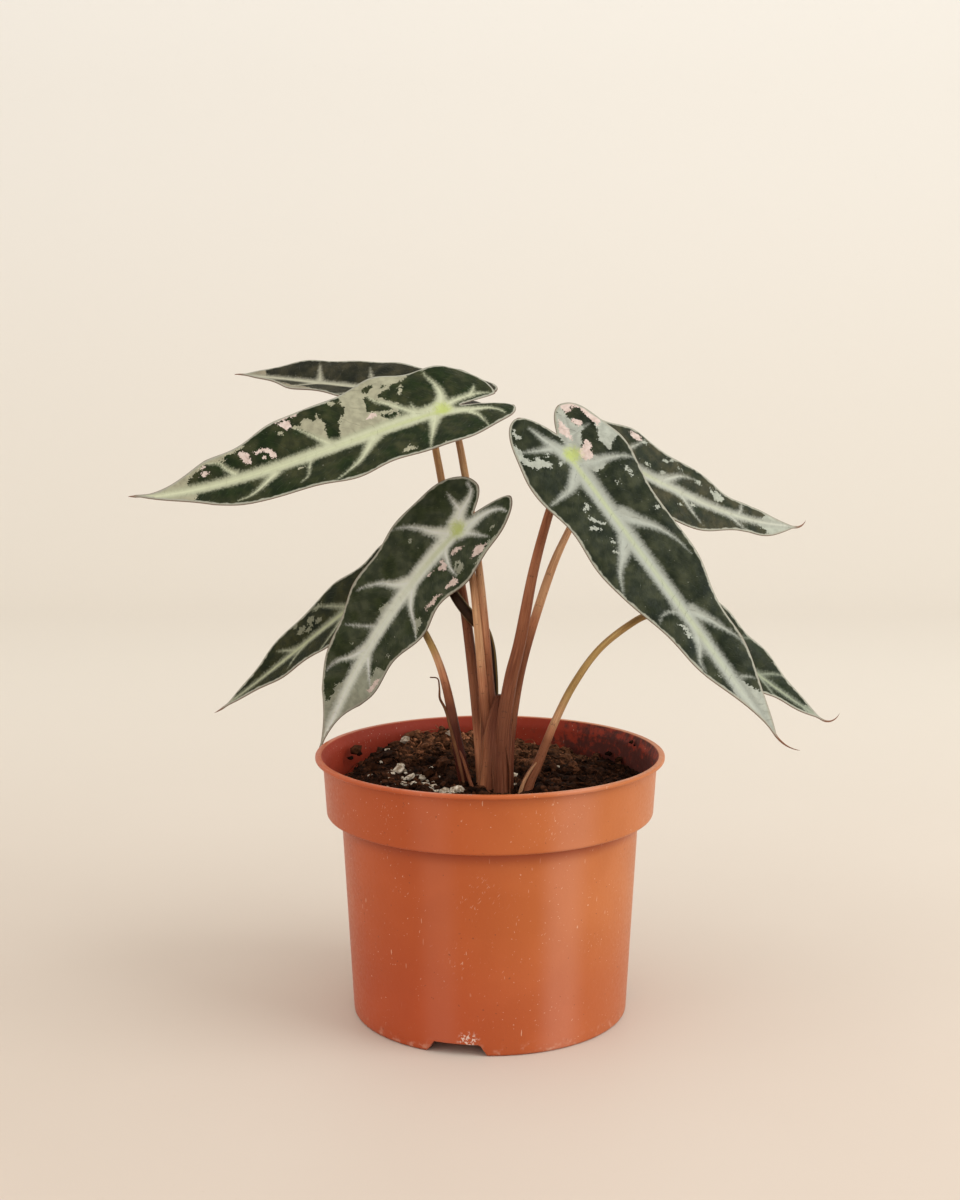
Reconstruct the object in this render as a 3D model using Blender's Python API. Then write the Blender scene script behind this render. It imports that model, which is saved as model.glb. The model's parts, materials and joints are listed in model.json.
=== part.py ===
"""A small variegated alocasia with arrow-shaped leaves, growing in a 12 cm plastic nursery pot.

The script is in metres with +Z up. Sizes are written in millimetres and turned into metres where
the meshes are made. The plant is laid out from the pot's axis, and the whole is then moved so that
the origin lies at the middle of the object's footprint, on the surface it stands on.
"""
from dataclasses import dataclass
from math import cos, pi, radians, sin

import bmesh
import bpy
import numpy as np
from mathutils import Vector

MM = 0.001
GAP = 0.3

# Pot, as radii and heights from its foot
POT_HEIGHT = 90.6
POT_SEGMENTS = 60
LIP_RADIUS = 60.0
LIP_THICKNESS = 1.3
MOUTH_RADIUS = 57.2
COLLAR_TOP_RADIUS = 57.4
COLLAR_FOOT_RADIUS = 56.2
COLLAR_FOOT = 70.0
BODY_TOP_RADIUS = 51.2
BODY_FOOT_RADIUS = 47.5
CORNER = 1.3
WALL = 1.4
FOOT_RING_WIDTH = 2.6
FLOOR_UNDERSIDE = 3.6
FLOOR_THICKNESS = 1.4
CENTRE_HOLE_RADIUS = 5.0
DRAIN_HOLE_RADIUS = 4.0
DRAIN_HOLE_CIRCLE = 34.0
DRAIN_HOLES = 6
NOTCHES = 3
NOTCH_WIDTH = 18.5
NOTCH_HEIGHT = 3.9
NOTCH_FLARE = 1.12
NOTCH_TOP = 0.86
FIRST_NOTCH_ANGLE = -103.5

# Soil
SOIL_LEVEL = 82.0
SOIL_SLOPE_X = -0.045
SOIL_SLOPE_Y = 0.03
SOIL_HEAP = (-20.0, 40.0, 16.0, 3.0)
SOIL_LUMPS = 46
SOIL_LUMP_HEIGHT = 1.5
SOIL_RINGS = 9
SOIL_SEGMENTS = 40
SOIL_SEED = 5

# Crown, the shared foot of the leaf stalks
CROWN_X = 2.5
CROWN_Y = -14.0
CROWN_HOLE_RADIUS = 14.2
CROWN_HOLE_FOOT = 58.0
CORM_RADIUS = 13.0
CORM_HALF_HEIGHT = 10.8
CORM_RINGS = 9
CORM_FLAT = 0.08
OVAL_SIDES = 14
STALK_SIDES = 8
STALK_STEP = 6.0
STALK_BEND = 3.2

# Blades
BLADE_THICKNESS = 0.65
STALK_TO_BLADE = 0.35
BLADE_ROWS = 17
LOBE_ROWS = 5
TAIL_ROWS = 3
BLADE_COLUMNS = 4
TAIL_HALF_WIDTH = 0.45
LOBE_ROUNDING = 1.2


@dataclass
class Leaf:
    """One blade. Pairs hold its left and its right half, seen from the stalk towards the tip.

    at is where the stalk joins. heading, pitch and roll set the blade there, in degrees. turn,
    droop and twist are how much they change along the blade, turn and droop as a linear and a
    square part. Lengths are in millimetres: length runs from the stalk to the tip, lobe from the
    stalk back to the end of each lobe, sinus to the notch between them, spread is how far each
    lobe's end lies from the middle line, and width is the greatest half width. taper and point
    shape the outline. fold is the angle at which the halves rise from the midrib, at the stalk and
    its change to the tip, cup lowers the margins, lift raises the lobes, and the waves are a
    height in millimetres, a number along the blade and a start angle for each half. tail is the
    dried thread at the tip: its length, and how far it turns up and to the side.
    """

    name: str
    at: tuple
    heading: float
    pitch: float
    roll: float
    turn: tuple
    droop: tuple
    twist: float
    length: float
    width: tuple
    lobe: tuple
    spread: tuple
    sinus: float
    taper: tuple
    point: tuple
    fold: tuple
    cup: float
    lift: float
    waves: tuple
    slim_tip: float
    ruffle: tuple
    tail: tuple


LEAVES = [
    Leaf("leaf_upper_left", at=(-16, 4, 208), heading=194, pitch=-15, roll=-39, turn=(-11, -11),
         droop=(-25, 36), twist=-28, length=108, width=(18, 20.5), lobe=(24, 20), spread=(6, 3),
         sinus=6.5, taper=(3.0, 2.8), point=(1.0, 1.2), fold=(7, 6), cup=0.3, lift=-0.9,
         waves=((-0.8, 3.8, 15), (0.9, 3.8, 24)), slim_tip=1.3,
         ruffle=(0.7, 5.0, 40), tail=(2.5, 4, -4)),
    Leaf("leaf_back_left", at=(-17.5, 28, 211.5), heading=156, pitch=4.5, roll=-22, turn=(-6, -8),
         droop=(2, -4), twist=-14, length=86.5, width=(14.5, 15.5), lobe=(19, 19), spread=(7, 7),
         sinus=8, taper=(2.5, 3.1), point=(1.2, 1.0), fold=(14, 5), cup=0.6, lift=0,
         waves=((-1.3, 3.7, 40), (-0.7, 3.6, 38)), slim_tip=0.4,
         ruffle=(0.6, 4.0, 0), tail=(4, -6, 4)),
    Leaf("leaf_front_left", at=(-11, 2, 167.5), heading=160, pitch=-45, roll=-76, turn=(-4, 2),
         droop=(-25, 2), twist=-25, length=99.5, width=(16.5, 17.5), lobe=(23.5, 15.5),
         spread=(6, 6.5), sinus=8, taper=(3.5, 3.3), point=(1.3, 1.2), fold=(11.5, -1), cup=0.2,
         lift=0.6, waves=((-1.2, 4.0, -83), (-0.5, 4.1, -63)), slim_tip=1.7,
         ruffle=(0.7, 4.5, 60), tail=(2, 0, 0)),
    Leaf("leaf_low_left", at=(-33.5, 25, 149), heading=161, pitch=-35, roll=-52, turn=(2.5, 1),
         droop=(-14, 13), twist=-6, length=86, width=(11.5, 13), lobe=(14, 14), spread=(5, 5),
         sinus=8, taper=(2.6, 2.9), point=(1.1, 1.2), fold=(12, 2), cup=0.4, lift=0,
         waves=((-0.6, 3.8, 15), (-0.8, 3.8, 62)), slim_tip=0.3,
         ruffle=(0.5, 4.0, 0), tail=(4, 10, 6)),
    Leaf("leaf_front_right", at=(27, -15.5, 194), heading=-31, pitch=-49, roll=40, turn=(6, -3),
         droop=(0, -3), twist=2, length=112.5, width=(17.5, 19), lobe=(17.5, 20.5),
         spread=(7, 8.5), sinus=9, taper=(2.2, 3.4), point=(0.8, 1.5), fold=(6, -1), cup=0.9,
         lift=-1.2, waves=((-1.0, 3.3, 42), (-1.0, 3.2, 68)), slim_tip=0,
         ruffle=(0.7, 4.5, 20), tail=(9, 48, 12)),
    Leaf("leaf_back_right", at=(40, 10.5, 191.5), heading=23, pitch=-24, roll=66, turn=(1, 0),
         droop=(-18, 40), twist=3, length=82.5, width=(14, 15), lobe=(16.5, 16.5), spread=(6, 6),
         sinus=8, taper=(2.6, 2.3), point=(1.3, 1.3), fold=(7, -1), cup=0.9, lift=0,
         waves=((0.9, 3.7, 89), (1.0, 3.3, 120)), slim_tip=-1.2,
         ruffle=(0.6, 4.0, 0), tail=(5, 60, 10)),
    Leaf("leaf_low_right", at=(62.5, 8.5, 141), heading=12, pitch=-40, roll=53, turn=(1, 1),
         droop=(-1, 9), twist=2, length=72, width=(14, 12), lobe=(15, 15), spread=(5.5, 5.5),
         sinus=8, taper=(2.7, 2.4), point=(1.2, 1.2), fold=(13, 2), cup=0.5, lift=0,
         waves=((0.5, 3.5, -10), (0.9, 3.6, -10)), slim_tip=0,
         ruffle=(0.4, 4.0, 0), tail=(8, 95, 10)),
]

# Stalks: points from the corm upwards, each with the stalk's radius there. The last stretch, from
# the last point to the blade, is worked out from the leaf.
STALKS = {
    "leaf_upper_left": [(-1.5, -12.5, 68, 2.4), (-2.5, -11.5, 88, 2.4), (-3.8, -7.5, 103, 2.2),
                        (-5.6, -1.0, 117, 1.9), (-8.6, 6.5, 139, 1.7), (-13.2, 11.5, 165, 1.4),
                        (-17.0, 12.5, 185, 1.3), (-19.0, 10.5, 199, 1.2)],
    "leaf_back_left": [(2.0, -14.5, 68, 2.6), (1.8, -13.5, 88, 2.6), (0.8, -11.0, 103, 2.1),
                       (-0.4, -7.5, 118, 1.7), (-2.2, -2.5, 140, 1.4), (-4.6, 5.0, 160, 1.3),
                       (-8.6, 14.5, 185, 1.3), (-12.4, 22.0, 202, 1.2)],
    "leaf_front_left": [(-0.5, -15.5, 68, 2.4), (-0.4, -14.5, 88, 2.4), (-1.2, -12.0, 103, 2.0),
                        (-2.6, -9.0, 118, 1.6), (-4.4, -3.8, 138, 1.4), (-6.2, 1.6, 152, 1.3),
                        (-9.5, 5.6, 162, 1.2)],
    "leaf_low_left": [(-7.0, -14.5, 68, 2.6), (-8.2, -14.0, 82, 2.3), (-11.0, -10.5, 96, 1.9),
                      (-14.6, -4.5, 113, 1.5), (-18.6, 2.5, 124, 1.3), (-24.8, 12.5, 134, 1.2),
                      (-31.0, 22.0, 142, 1.1)],
    "leaf_front_right": [(4.2, -15.5, 68, 2.7), (4.0, -15.5, 88, 2.7), (4.6, -15.0, 103, 2.5),
                         (7.0, -14.5, 119, 2.3), (10.0, -14.0, 131.5, 2.1), (14.4, -13.5, 155, 1.7),
                         (19.8, -12.0, 175, 1.5), (24.4, -11.2, 187, 1.3)],
    "leaf_back_right": [(5.8, -12.0, 68, 2.4), (6.0, -11.5, 92, 2.2), (8.2, -10.0, 110, 1.8),
                        (12.2, -7.0, 128, 1.6), (20.4, -1.0, 153, 1.5), (27.0, 5.0, 167, 1.2),
                        (35.0, 11.5, 182, 1.2)],
    "leaf_low_right": [(10.2, -15.5, 68, 2.6), (12.4, -15.0, 82, 2.3), (16.2, -14.0, 90, 1.7),
                       (22.0, -11.5, 104, 1.4), (28.6, -7.0, 116, 1.3), (37.8, -1.0, 127.2, 1.2),
                       (50.4, 6.5, 135.4, 1.2), (58.5, 9.5, 138, 1.1)],
}

# Sheath round the feet of the stalks: height, middle, half width and half depth
SHEATH = [(68, 1.0, -14.2, 4.6, 4.2), (80, 1.0, -14.2, 5.7, 5.0), (91, 1.6, -13.6, 5.2, 4.6),
          (101, 2.2, -12.6, 5.9, 4.0), (109, 2.6, -11.8, 5.6, 3.0), (113, 2.8, -11.4, 3.0, 1.6)]

# Rolled young leaf and the dried curl of an old sheath: points and radii
NEW_LEAF = [(2.1, -6.6, 109.5, 1.2), (1.6, -4.6, 118, 1.8), (0.2, -0.8, 127, 2.1),
            (-2.6, 1.6, 133.5, 2.1), (-7.0, 1.8, 138, 2.0), (-12.0, 3.6, 144.5, 1.7),
            (-16.5, 7.5, 152, 0.7)]
DRIED_SHEATH = [(-16.0, -6.6, 105.6, 0.7), (-16.6, -6.4, 108, 0.8), (-17.4, -5.6, 110.6, 0.7),
                (-17.2, -4.6, 114, 0.5), (-17.8, -4.0, 117, 0.4), (-20.4, -3.6, 117.4, 0.4)]


def material(name, colour, roughness, specular=0.5):
    """A plain finish in the part's own colour."""
    finish = bpy.data.materials.new(name)
    finish.use_nodes = True
    shader = finish.node_tree.nodes["Principled BSDF"]
    shader.inputs["Base Color"].default_value = (*colour, 1)
    shader.inputs["Roughness"].default_value = roughness
    shader.inputs["Metallic"].default_value = 0
    shader.inputs["Specular IOR Level"].default_value = specular
    return finish


def add_object(name, points, faces, finish=None):
    """A mesh object from points in millimetres."""
    mesh = bpy.data.meshes.new(name)
    mesh.from_pydata([Vector(point) * MM for point in points], [], faces)
    mesh.validate()
    obj = bpy.data.objects.new(name, mesh)
    bpy.context.scene.collection.objects.link(obj)
    if finish:
        mesh.materials.append(finish)
    return obj


def turned(name, profile, segments, finish=None):
    """A closed profile of (radius, height), counter-clockwise, turned round the Z axis."""
    points = []
    for step in range(segments):
        angle = 2 * pi * step / segments
        points += [(radius * cos(angle), radius * sin(angle), height) for radius, height in profile]
    count = len(profile)
    faces = []
    for step in range(segments):
        near, far = step * count, (step + 1) % segments * count
        for index in range(count):
            after = (index + 1) % count
            faces.append((near + index, far + index, far + after, near + after))
    return add_object(name, points, faces, finish)


def apply_modifiers(obj):
    """Replace an object's mesh by its evaluated one, with no modifiers left."""
    graph = bpy.context.evaluated_depsgraph_get()
    mesh = bpy.data.meshes.new_from_object(obj.evaluated_get(graph))
    obj.modifiers.clear()
    obj.data = mesh


def boolean(obj, others, operation):
    """Join or cut obj with the other objects, which are then removed."""
    group = bpy.data.collections.new(obj.name + "_others")
    bpy.context.scene.collection.children.link(group)
    for other in others:
        bpy.context.scene.collection.objects.unlink(other)
        group.objects.link(other)
    modifier = obj.modifiers.new(operation.lower(), "BOOLEAN")
    modifier.operand_type = "COLLECTION"
    modifier.collection = group
    modifier.operation = operation
    modifier.solver = "EXACT"
    apply_modifiers(obj)
    for other in others:
        bpy.data.objects.remove(other)
    bpy.data.collections.remove(group)


def body_radius(height):
    """Outer radius of the pot's body, which narrows evenly to its foot."""
    return BODY_FOOT_RADIUS + (BODY_TOP_RADIUS - BODY_FOOT_RADIUS) * height / COLLAR_FOOT


def collar_radius(height):
    """Outer radius of the collar under the lip."""
    share = (height - COLLAR_FOOT) / (POT_HEIGHT - LIP_THICKNESS - COLLAR_FOOT)
    return COLLAR_FOOT_RADIUS + (COLLAR_TOP_RADIUS - COLLAR_FOOT_RADIUS) * share


def make_pot(finish):
    """Turned wall, collar and lip, with notches in the foot ring and drain holes in the floor."""
    lip_foot = POT_HEIGHT - LIP_THICKNESS
    floor_top = FLOOR_UNDERSIDE + FLOOR_THICKNESS
    shelf_top = COLLAR_FOOT + WALL
    profile = [
        (BODY_FOOT_RADIUS - FOOT_RING_WIDTH, 0),
        (BODY_FOOT_RADIUS - CORNER, 0),
        (BODY_FOOT_RADIUS - 0.3 * CORNER, 0.3 * CORNER),
        (body_radius(CORNER), CORNER),
        (body_radius(COLLAR_FOOT), COLLAR_FOOT),
        (COLLAR_FOOT_RADIUS - CORNER, COLLAR_FOOT),
        (COLLAR_FOOT_RADIUS - 0.3 * CORNER, COLLAR_FOOT + 0.3 * CORNER),
        (collar_radius(COLLAR_FOOT + CORNER), COLLAR_FOOT + CORNER),
        (collar_radius(lip_foot - 0.4), lip_foot - 0.4),
        (LIP_RADIUS - 0.3, lip_foot),
        (LIP_RADIUS, lip_foot + 0.4 * LIP_THICKNESS),
        (LIP_RADIUS - 0.4, POT_HEIGHT),
        (MOUTH_RADIUS + 0.3, POT_HEIGHT),
        (MOUTH_RADIUS - 0.6, POT_HEIGHT - 0.8),
        (collar_radius(lip_foot) - WALL, lip_foot - 2.0),
        (collar_radius(shelf_top + CORNER) - WALL, shelf_top + CORNER),
        (COLLAR_FOOT_RADIUS - WALL - CORNER, shelf_top),
        (BODY_TOP_RADIUS - WALL, shelf_top - 0.4),
        (body_radius(floor_top + CORNER) - WALL, floor_top + CORNER),
        (BODY_FOOT_RADIUS - WALL - CORNER, floor_top),
        (CENTRE_HOLE_RADIUS, floor_top),
        (CENTRE_HOLE_RADIUS, FLOOR_UNDERSIDE),
        (BODY_FOOT_RADIUS - FOOT_RING_WIDTH, FLOOR_UNDERSIDE),
    ]
    pot = turned("pot", profile, POT_SEGMENTS, finish)
    cutters = []
    for index in range(NOTCHES):
        angle = radians(FIRST_NOTCH_ANGLE + index * 360 / NOTCHES)
        cutters.append(notch_cutter(angle))
    for index in range(DRAIN_HOLES):
        angle = radians(FIRST_NOTCH_ANGLE + index * 360 / DRAIN_HOLES)
        cutters.append(drain_cutter(angle))
    boolean(pot, cutters, "DIFFERENCE")
    return pot


def notch_cutter(angle):
    """A wedge through the foot ring, narrower at its top."""
    inner, outer = BODY_FOOT_RADIUS - 6, BODY_FOOT_RADIUS + 3
    points = []
    for radius in (inner, outer):
        for across, height in ((-NOTCH_FLARE, -1), (NOTCH_FLARE, -1), (NOTCH_TOP, NOTCH_HEIGHT),
                               (-NOTCH_TOP, NOTCH_HEIGHT)):
            side = across * NOTCH_WIDTH / 2
            points.append((radius * cos(angle) - side * sin(angle),
                           radius * sin(angle) + side * cos(angle), height))
    faces = [(3, 2, 1, 0), (4, 5, 6, 7), (0, 1, 5, 4), (1, 2, 6, 5), (2, 3, 7, 6), (3, 0, 4, 7)]
    return add_object("notch_cutter", points, faces)


def drain_cutter(angle):
    """A round hole through the floor."""
    sides = 14
    x, y = DRAIN_HOLE_CIRCLE * cos(angle), DRAIN_HOLE_CIRCLE * sin(angle)
    ring = [(x + DRAIN_HOLE_RADIUS * cos(2 * pi * k / sides),
             y + DRAIN_HOLE_RADIUS * sin(2 * pi * k / sides)) for k in range(sides)]
    return prism("drain_cutter", ring, FLOOR_UNDERSIDE - 1, FLOOR_UNDERSIDE + FLOOR_THICKNESS + 1)


def prism(name, ring, low, high):
    """An upright prism over a counter-clockwise outline."""
    count = len(ring)
    points = [(x, y, low) for x, y in ring] + [(x, y, high) for x, y in ring]
    faces = [tuple(reversed(range(count))), tuple(range(count, 2 * count))]
    faces += [(k, (k + 1) % count, count + (k + 1) % count, count + k) for k in range(count)]
    return add_object(name, points, faces)


def soil_height(x, y, lumps):
    """Sloping level, one heap at the back left, and small lumps."""
    heap_x, heap_y, heap_radius, heap_height = SOIL_HEAP
    height = SOIL_LEVEL + SOIL_SLOPE_X * x + SOIL_SLOPE_Y * y
    height += heap_height * np.exp(-((x - heap_x) ** 2 + (y - heap_y) ** 2) / heap_radius ** 2)
    for lump_x, lump_y, radius, lift in lumps:
        height += lift * np.exp(-((x - lump_x) ** 2 + (y - lump_y) ** 2) / radius ** 2)
    return height


def make_soil(finish):
    """Potting mix that fills the pot, with a plain hole for the plant's crown."""
    draw = np.random.default_rng(SOIL_SEED)
    lumps = []
    for _ in range(SOIL_LUMPS):
        angle, reach = draw.uniform(0, 2 * pi), 54 * draw.uniform(0, 1) ** 0.5
        lift = SOIL_LUMP_HEIGHT * draw.uniform(-0.8, 1)
        lumps.append((reach * cos(angle), reach * sin(angle), draw.uniform(3.5, 7), lift))
    floor = FLOOR_UNDERSIDE + FLOOR_THICKNESS + GAP
    shelf = COLLAR_FOOT + WALL + GAP
    edge = [(BODY_FOOT_RADIUS - WALL - CORNER - GAP, floor),
            (body_radius(floor + CORNER) - WALL - GAP, floor + CORNER),
            (BODY_TOP_RADIUS - WALL - GAP, shelf),
            (COLLAR_FOOT_RADIUS - WALL - CORNER - GAP, shelf)]
    top_radius = collar_radius(shelf + CORNER) - WALL - GAP
    points = [(0, 0, floor)]
    for radius, height in edge + [(top_radius, shelf + CORNER)]:
        points += ring_points(radius, lambda x, y, height=height: height)
    for ring in range(SOIL_RINGS):
        radius = top_radius * (1 - ring / SOIL_RINGS)
        points += ring_points(radius, lambda x, y: soil_height(x, y, lumps))
    points.append((0, 0, soil_height(0, 0, lumps)))
    faces = []
    rings = len(edge) + 1 + SOIL_RINGS
    for step in range(SOIL_SEGMENTS):
        after = (step + 1) % SOIL_SEGMENTS
        faces.append((0, 1 + after, 1 + step))
        for ring in range(rings - 1):
            low, high = 1 + ring * SOIL_SEGMENTS, 1 + (ring + 1) * SOIL_SEGMENTS
            faces.append((low + step, low + after, high + after, high + step))
        last = 1 + (rings - 1) * SOIL_SEGMENTS
        faces.append((last + step, last + after, len(points) - 1))
    soil = add_object("soil", points, faces, finish)
    sides = 28
    ring = [(CROWN_X + CROWN_HOLE_RADIUS * cos(2 * pi * k / sides),
             CROWN_Y + CROWN_HOLE_RADIUS * sin(2 * pi * k / sides)) for k in range(sides)]
    boolean(soil, [prism("crown_hole", ring, CROWN_HOLE_FOOT, SOIL_LEVEL + 20)], "DIFFERENCE")
    return soil


def ring_points(radius, height):
    """One ring of the soil's grid, at the height that the function gives."""
    points = []
    for step in range(SOIL_SEGMENTS):
        angle = 2 * pi * step / SOIL_SEGMENTS
        x, y = radius * cos(angle), radius * sin(angle)
        points.append((x, y, height(x, y)))
    return points


def blade_frame(leaf, u):
    """Directions along the midrib, across to the left and out of the upper face, at distances u."""
    share = np.clip(u / leaf.length, -0.25, 1.0)
    past = np.clip((u - leaf.length) / max(leaf.tail[0], 1e-6), 0, 1)
    square = share ** 2 * (share > 0)
    heading = np.radians(leaf.heading + leaf.turn[0] * share + leaf.turn[1] * square
                         + leaf.tail[2] * past)
    pitch = np.radians(leaf.pitch + leaf.droop[0] * share + leaf.droop[1] * square
                       + leaf.tail[1] * past)
    roll = np.radians(leaf.roll + leaf.twist * share)[:, None]
    flat, rise = np.cos(pitch), np.sin(pitch)
    along = np.stack([flat * np.cos(heading), flat * np.sin(heading), rise], 1)
    upward = np.stack([-rise * np.cos(heading), -rise * np.sin(heading), flat], 1)
    level = np.stack([-np.sin(heading), np.cos(heading), 0 * heading], 1)
    across = np.cos(roll) * level + np.sin(roll) * upward
    out = np.cos(roll) * upward - np.sin(roll) * level
    return along, across, out


def midrib(leaf, u):
    """Points of the midrib line at distances u, by summing its direction from the stalk."""
    steps = np.linspace(-30, leaf.length + leaf.tail[0], 400)
    along = blade_frame(leaf, steps)[0]
    line = np.zeros((len(steps), 3))
    line[1:] = np.cumsum((along[1:] + along[:-1]) / 2 * np.diff(steps)[:, None], axis=0)
    start = [np.interp(0, steps, line[:, axis]) for axis in range(3)]
    line += np.array(leaf.at) - start
    return np.stack([np.interp(u, steps, line[:, axis]) for axis in range(3)], 1)


def half_width(leaf, u, half):
    """Distance of the margin from the middle line: (1 - x ** taper) ** point with slow waves.

    x runs from 0 at the lobe's end to 1 at the tip. The lobe's end is rounded off towards its own
    spread, and past the tip the dried thread narrows evenly.
    """
    lobe, spread, width = leaf.lobe[half], leaf.spread[half], leaf.width[half]
    height, number, start = leaf.waves[half]
    x = np.clip((u + lobe) / (leaf.length + lobe), 0, 1)
    swing = np.sin(2 * pi * number * x + radians(start))
    swing *= np.clip(x / 0.15, 0, 1) * np.clip((1 - x) / 0.25, 0, 1)
    body = width * (1 - x ** leaf.taper[half]) ** leaf.point[half] + height * swing
    body -= leaf.slim_tip * np.sin(pi * np.clip((x - 0.8) / 0.2, 0, 1))
    past = np.clip((u - leaf.length) / leaf.tail[0], 0, 1)
    body = np.maximum(body, TAIL_HALF_WIDTH * (1 - 0.9 * past))
    rounded = np.clip(x * (leaf.length + lobe) / (LOBE_ROUNDING * lobe), 0, 1)
    return spread + (body - spread) * np.sqrt(1 - (1 - rounded) ** 2)


def blade_points(leaf, u, v, half):
    """Points of the blade at distance u along and v across, in the given half."""
    along, across, out = blade_frame(leaf, u)
    share = np.clip(u / leaf.length, -0.25, 1)
    fold = np.radians(leaf.fold[0] + leaf.fold[1] * share)
    mean_width = sum(leaf.width) / 2
    height = v * np.sin(fold) - leaf.cup * (v / mean_width) ** 2
    height += leaf.lift * (np.clip(-u, 0, None) / 18) ** 2
    size, number, start = leaf.ruffle
    phase = radians(start) + half * 1.9
    height += size * (v / mean_width) ** 2 * np.sin(2 * pi * number * share + phase)
    side = (1, -1)[half]
    return (midrib(leaf, u) + (side * v * np.cos(fold))[:, None] * across + height[:, None] * out)


def make_blade(leaf, finish):
    """A sheet of triangles over both halves and both lobes, given its thickness by Solidify."""
    work = bmesh.new()
    first = -leaf.sinus
    blade_u = first + (leaf.length - first) * np.linspace(0, 1, BLADE_ROWS + 1) ** 1.1
    tail_u = leaf.length + leaf.tail[0] * np.linspace(0, 1, TAIL_ROWS + 1)[1:]
    rows_u = np.concatenate([blade_u, tail_u])
    part = np.linspace(0, 1, BLADE_COLUMNS + 1)
    for half in (0, 1):
        lobe, spread = leaf.lobe[half], leaf.spread[half]
        share = np.linspace(0, 1, LOBE_ROWS + 1) ** 2
        lobe_u = -lobe + share * (lobe - leaf.sinus)
        lobe_inner = spread * (1 - np.sqrt(share))
        u = np.concatenate([lobe_u, rows_u[1:]])
        inner = np.concatenate([lobe_inner, np.zeros(len(rows_u) - 1)])
        outer = half_width(leaf, u, half)
        outer[0] = spread
        v = inner[:, None] + (outer - inner)[:, None] * part[None, :]
        grid = np.repeat(u[:, None], len(part), 1)
        points = blade_points(leaf, grid.ravel(), v.ravel(), half) * MM
        verts = [work.verts.new(point) for point in points]
        add_grid(work, verts, len(u), len(part), half == 1)
    bmesh.ops.remove_doubles(work, verts=work.verts, dist=1e-7)
    mesh = bpy.data.meshes.new(leaf.name)
    work.to_mesh(mesh)
    work.free()
    mesh.materials.append(finish)
    obj = bpy.data.objects.new(leaf.name, mesh)
    bpy.context.scene.collection.objects.link(obj)
    thickness = obj.modifiers.new("thickness", "SOLIDIFY")
    thickness.thickness = BLADE_THICKNESS * MM
    thickness.offset = -1
    return obj


def add_grid(work, verts, rows, columns, mirrored):
    """Triangles between the rows of points, turned so that the upper face looks outwards."""
    for row in range(rows - 1):
        for column in range(columns - 1):
            corner = row * columns + column
            square = [verts[corner], verts[corner + columns], verts[corner + columns + 1],
                      verts[corner + 1]]
            if mirrored:
                square = [square[0], square[3], square[2], square[1]]
            for triangle in ((0, 1, 2), (0, 2, 3)):
                work.faces.new([square[k] for k in triangle])


def smooth_path(points):
    """Points every STALK_STEP or so on a curve that runs smoothly through the given ones."""
    points = np.array(points, float)
    before = np.vstack([2 * points[0] - points[1], points, 2 * points[-1] - points[-2]])
    path = []
    for index in range(1, len(points)):
        a, b, c, d = before[index - 1:index + 3]
        steps = max(1, round(float(np.linalg.norm(c[:3] - b[:3])) / STALK_STEP))
        for step in range(steps):
            t = step / steps
            path.append(0.5 * (2 * b + (c - a) * t + (2 * a - 5 * b + 4 * c - d) * t ** 2
                               + (3 * b - 3 * c + d - a) * t ** 3))
    path.append(points[-1])
    return np.array(path)


def tube(name, points, finish=None, last_normal=None):
    """A round stalk along a smooth path, whose points carry their radius, closed at both ends."""
    path = smooth_path(points)
    centres, radii = path[:, :3], path[:, 3]
    tangents = np.gradient(centres, axis=0)
    tangents /= np.linalg.norm(tangents, axis=1)[:, None]
    if last_normal is not None:
        tangents[-1] = last_normal
    side = np.cross(tangents[0], (0.2, 1, 0))
    verts = []
    for centre, radius, tangent in zip(centres, radii, tangents):
        side = side - np.dot(side, tangent) * tangent
        side = side / np.linalg.norm(side)
        other = np.cross(tangent, side)
        for step in range(STALK_SIDES):
            angle = 2 * pi * step / STALK_SIDES
            verts.append(centre + radius * (cos(angle) * side + sin(angle) * other))
    count = STALK_SIDES
    faces = [tuple(reversed(range(count)))]
    faces.append(tuple(range(len(verts) - count, len(verts))))
    for ring in range(len(centres) - 1):
        for step in range(count):
            after = (step + 1) % count
            low, high = ring * count, (ring + 1) * count
            faces.append((low + step, low + after, high + after, high + step))
    return add_object(name, verts, faces, finish)


def oval_stack(name, sections):
    """A closed solid through level ovals of (height, x, y, half width, half depth)."""
    points = []
    for height, x, y, half_wide, half_deep in sections:
        for step in range(OVAL_SIDES):
            angle = 2 * pi * step / OVAL_SIDES
            points.append((x + half_wide * cos(angle), y + half_deep * sin(angle), height))
    faces = [tuple(reversed(range(OVAL_SIDES))),
             tuple(range(len(points) - OVAL_SIDES, len(points)))]
    for ring in range(len(sections) - 1):
        for step in range(OVAL_SIDES):
            after = (step + 1) % OVAL_SIDES
            low, high = ring * OVAL_SIDES, (ring + 1) * OVAL_SIDES
            faces.append((low + step, low + after, high + after, high + step))
    return add_object(name, points, faces)


def corm_sections():
    """The corm under the stalks: a ball with flat poles that stands on the foot of its hole."""
    middle = CROWN_HOLE_FOOT + GAP + CORM_HALF_HEIGHT
    steepest = pi * (0.5 - CORM_FLAT)
    sections = []
    for step in range(CORM_RINGS):
        angle = steepest * (2 * step / (CORM_RINGS - 1) - 1)
        radius = CORM_RADIUS * cos(angle)
        height = middle + CORM_HALF_HEIGHT * sin(angle) / sin(steepest)
        sections.append((height, CROWN_X, CROWN_Y, radius, radius))
    return sections


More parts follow.
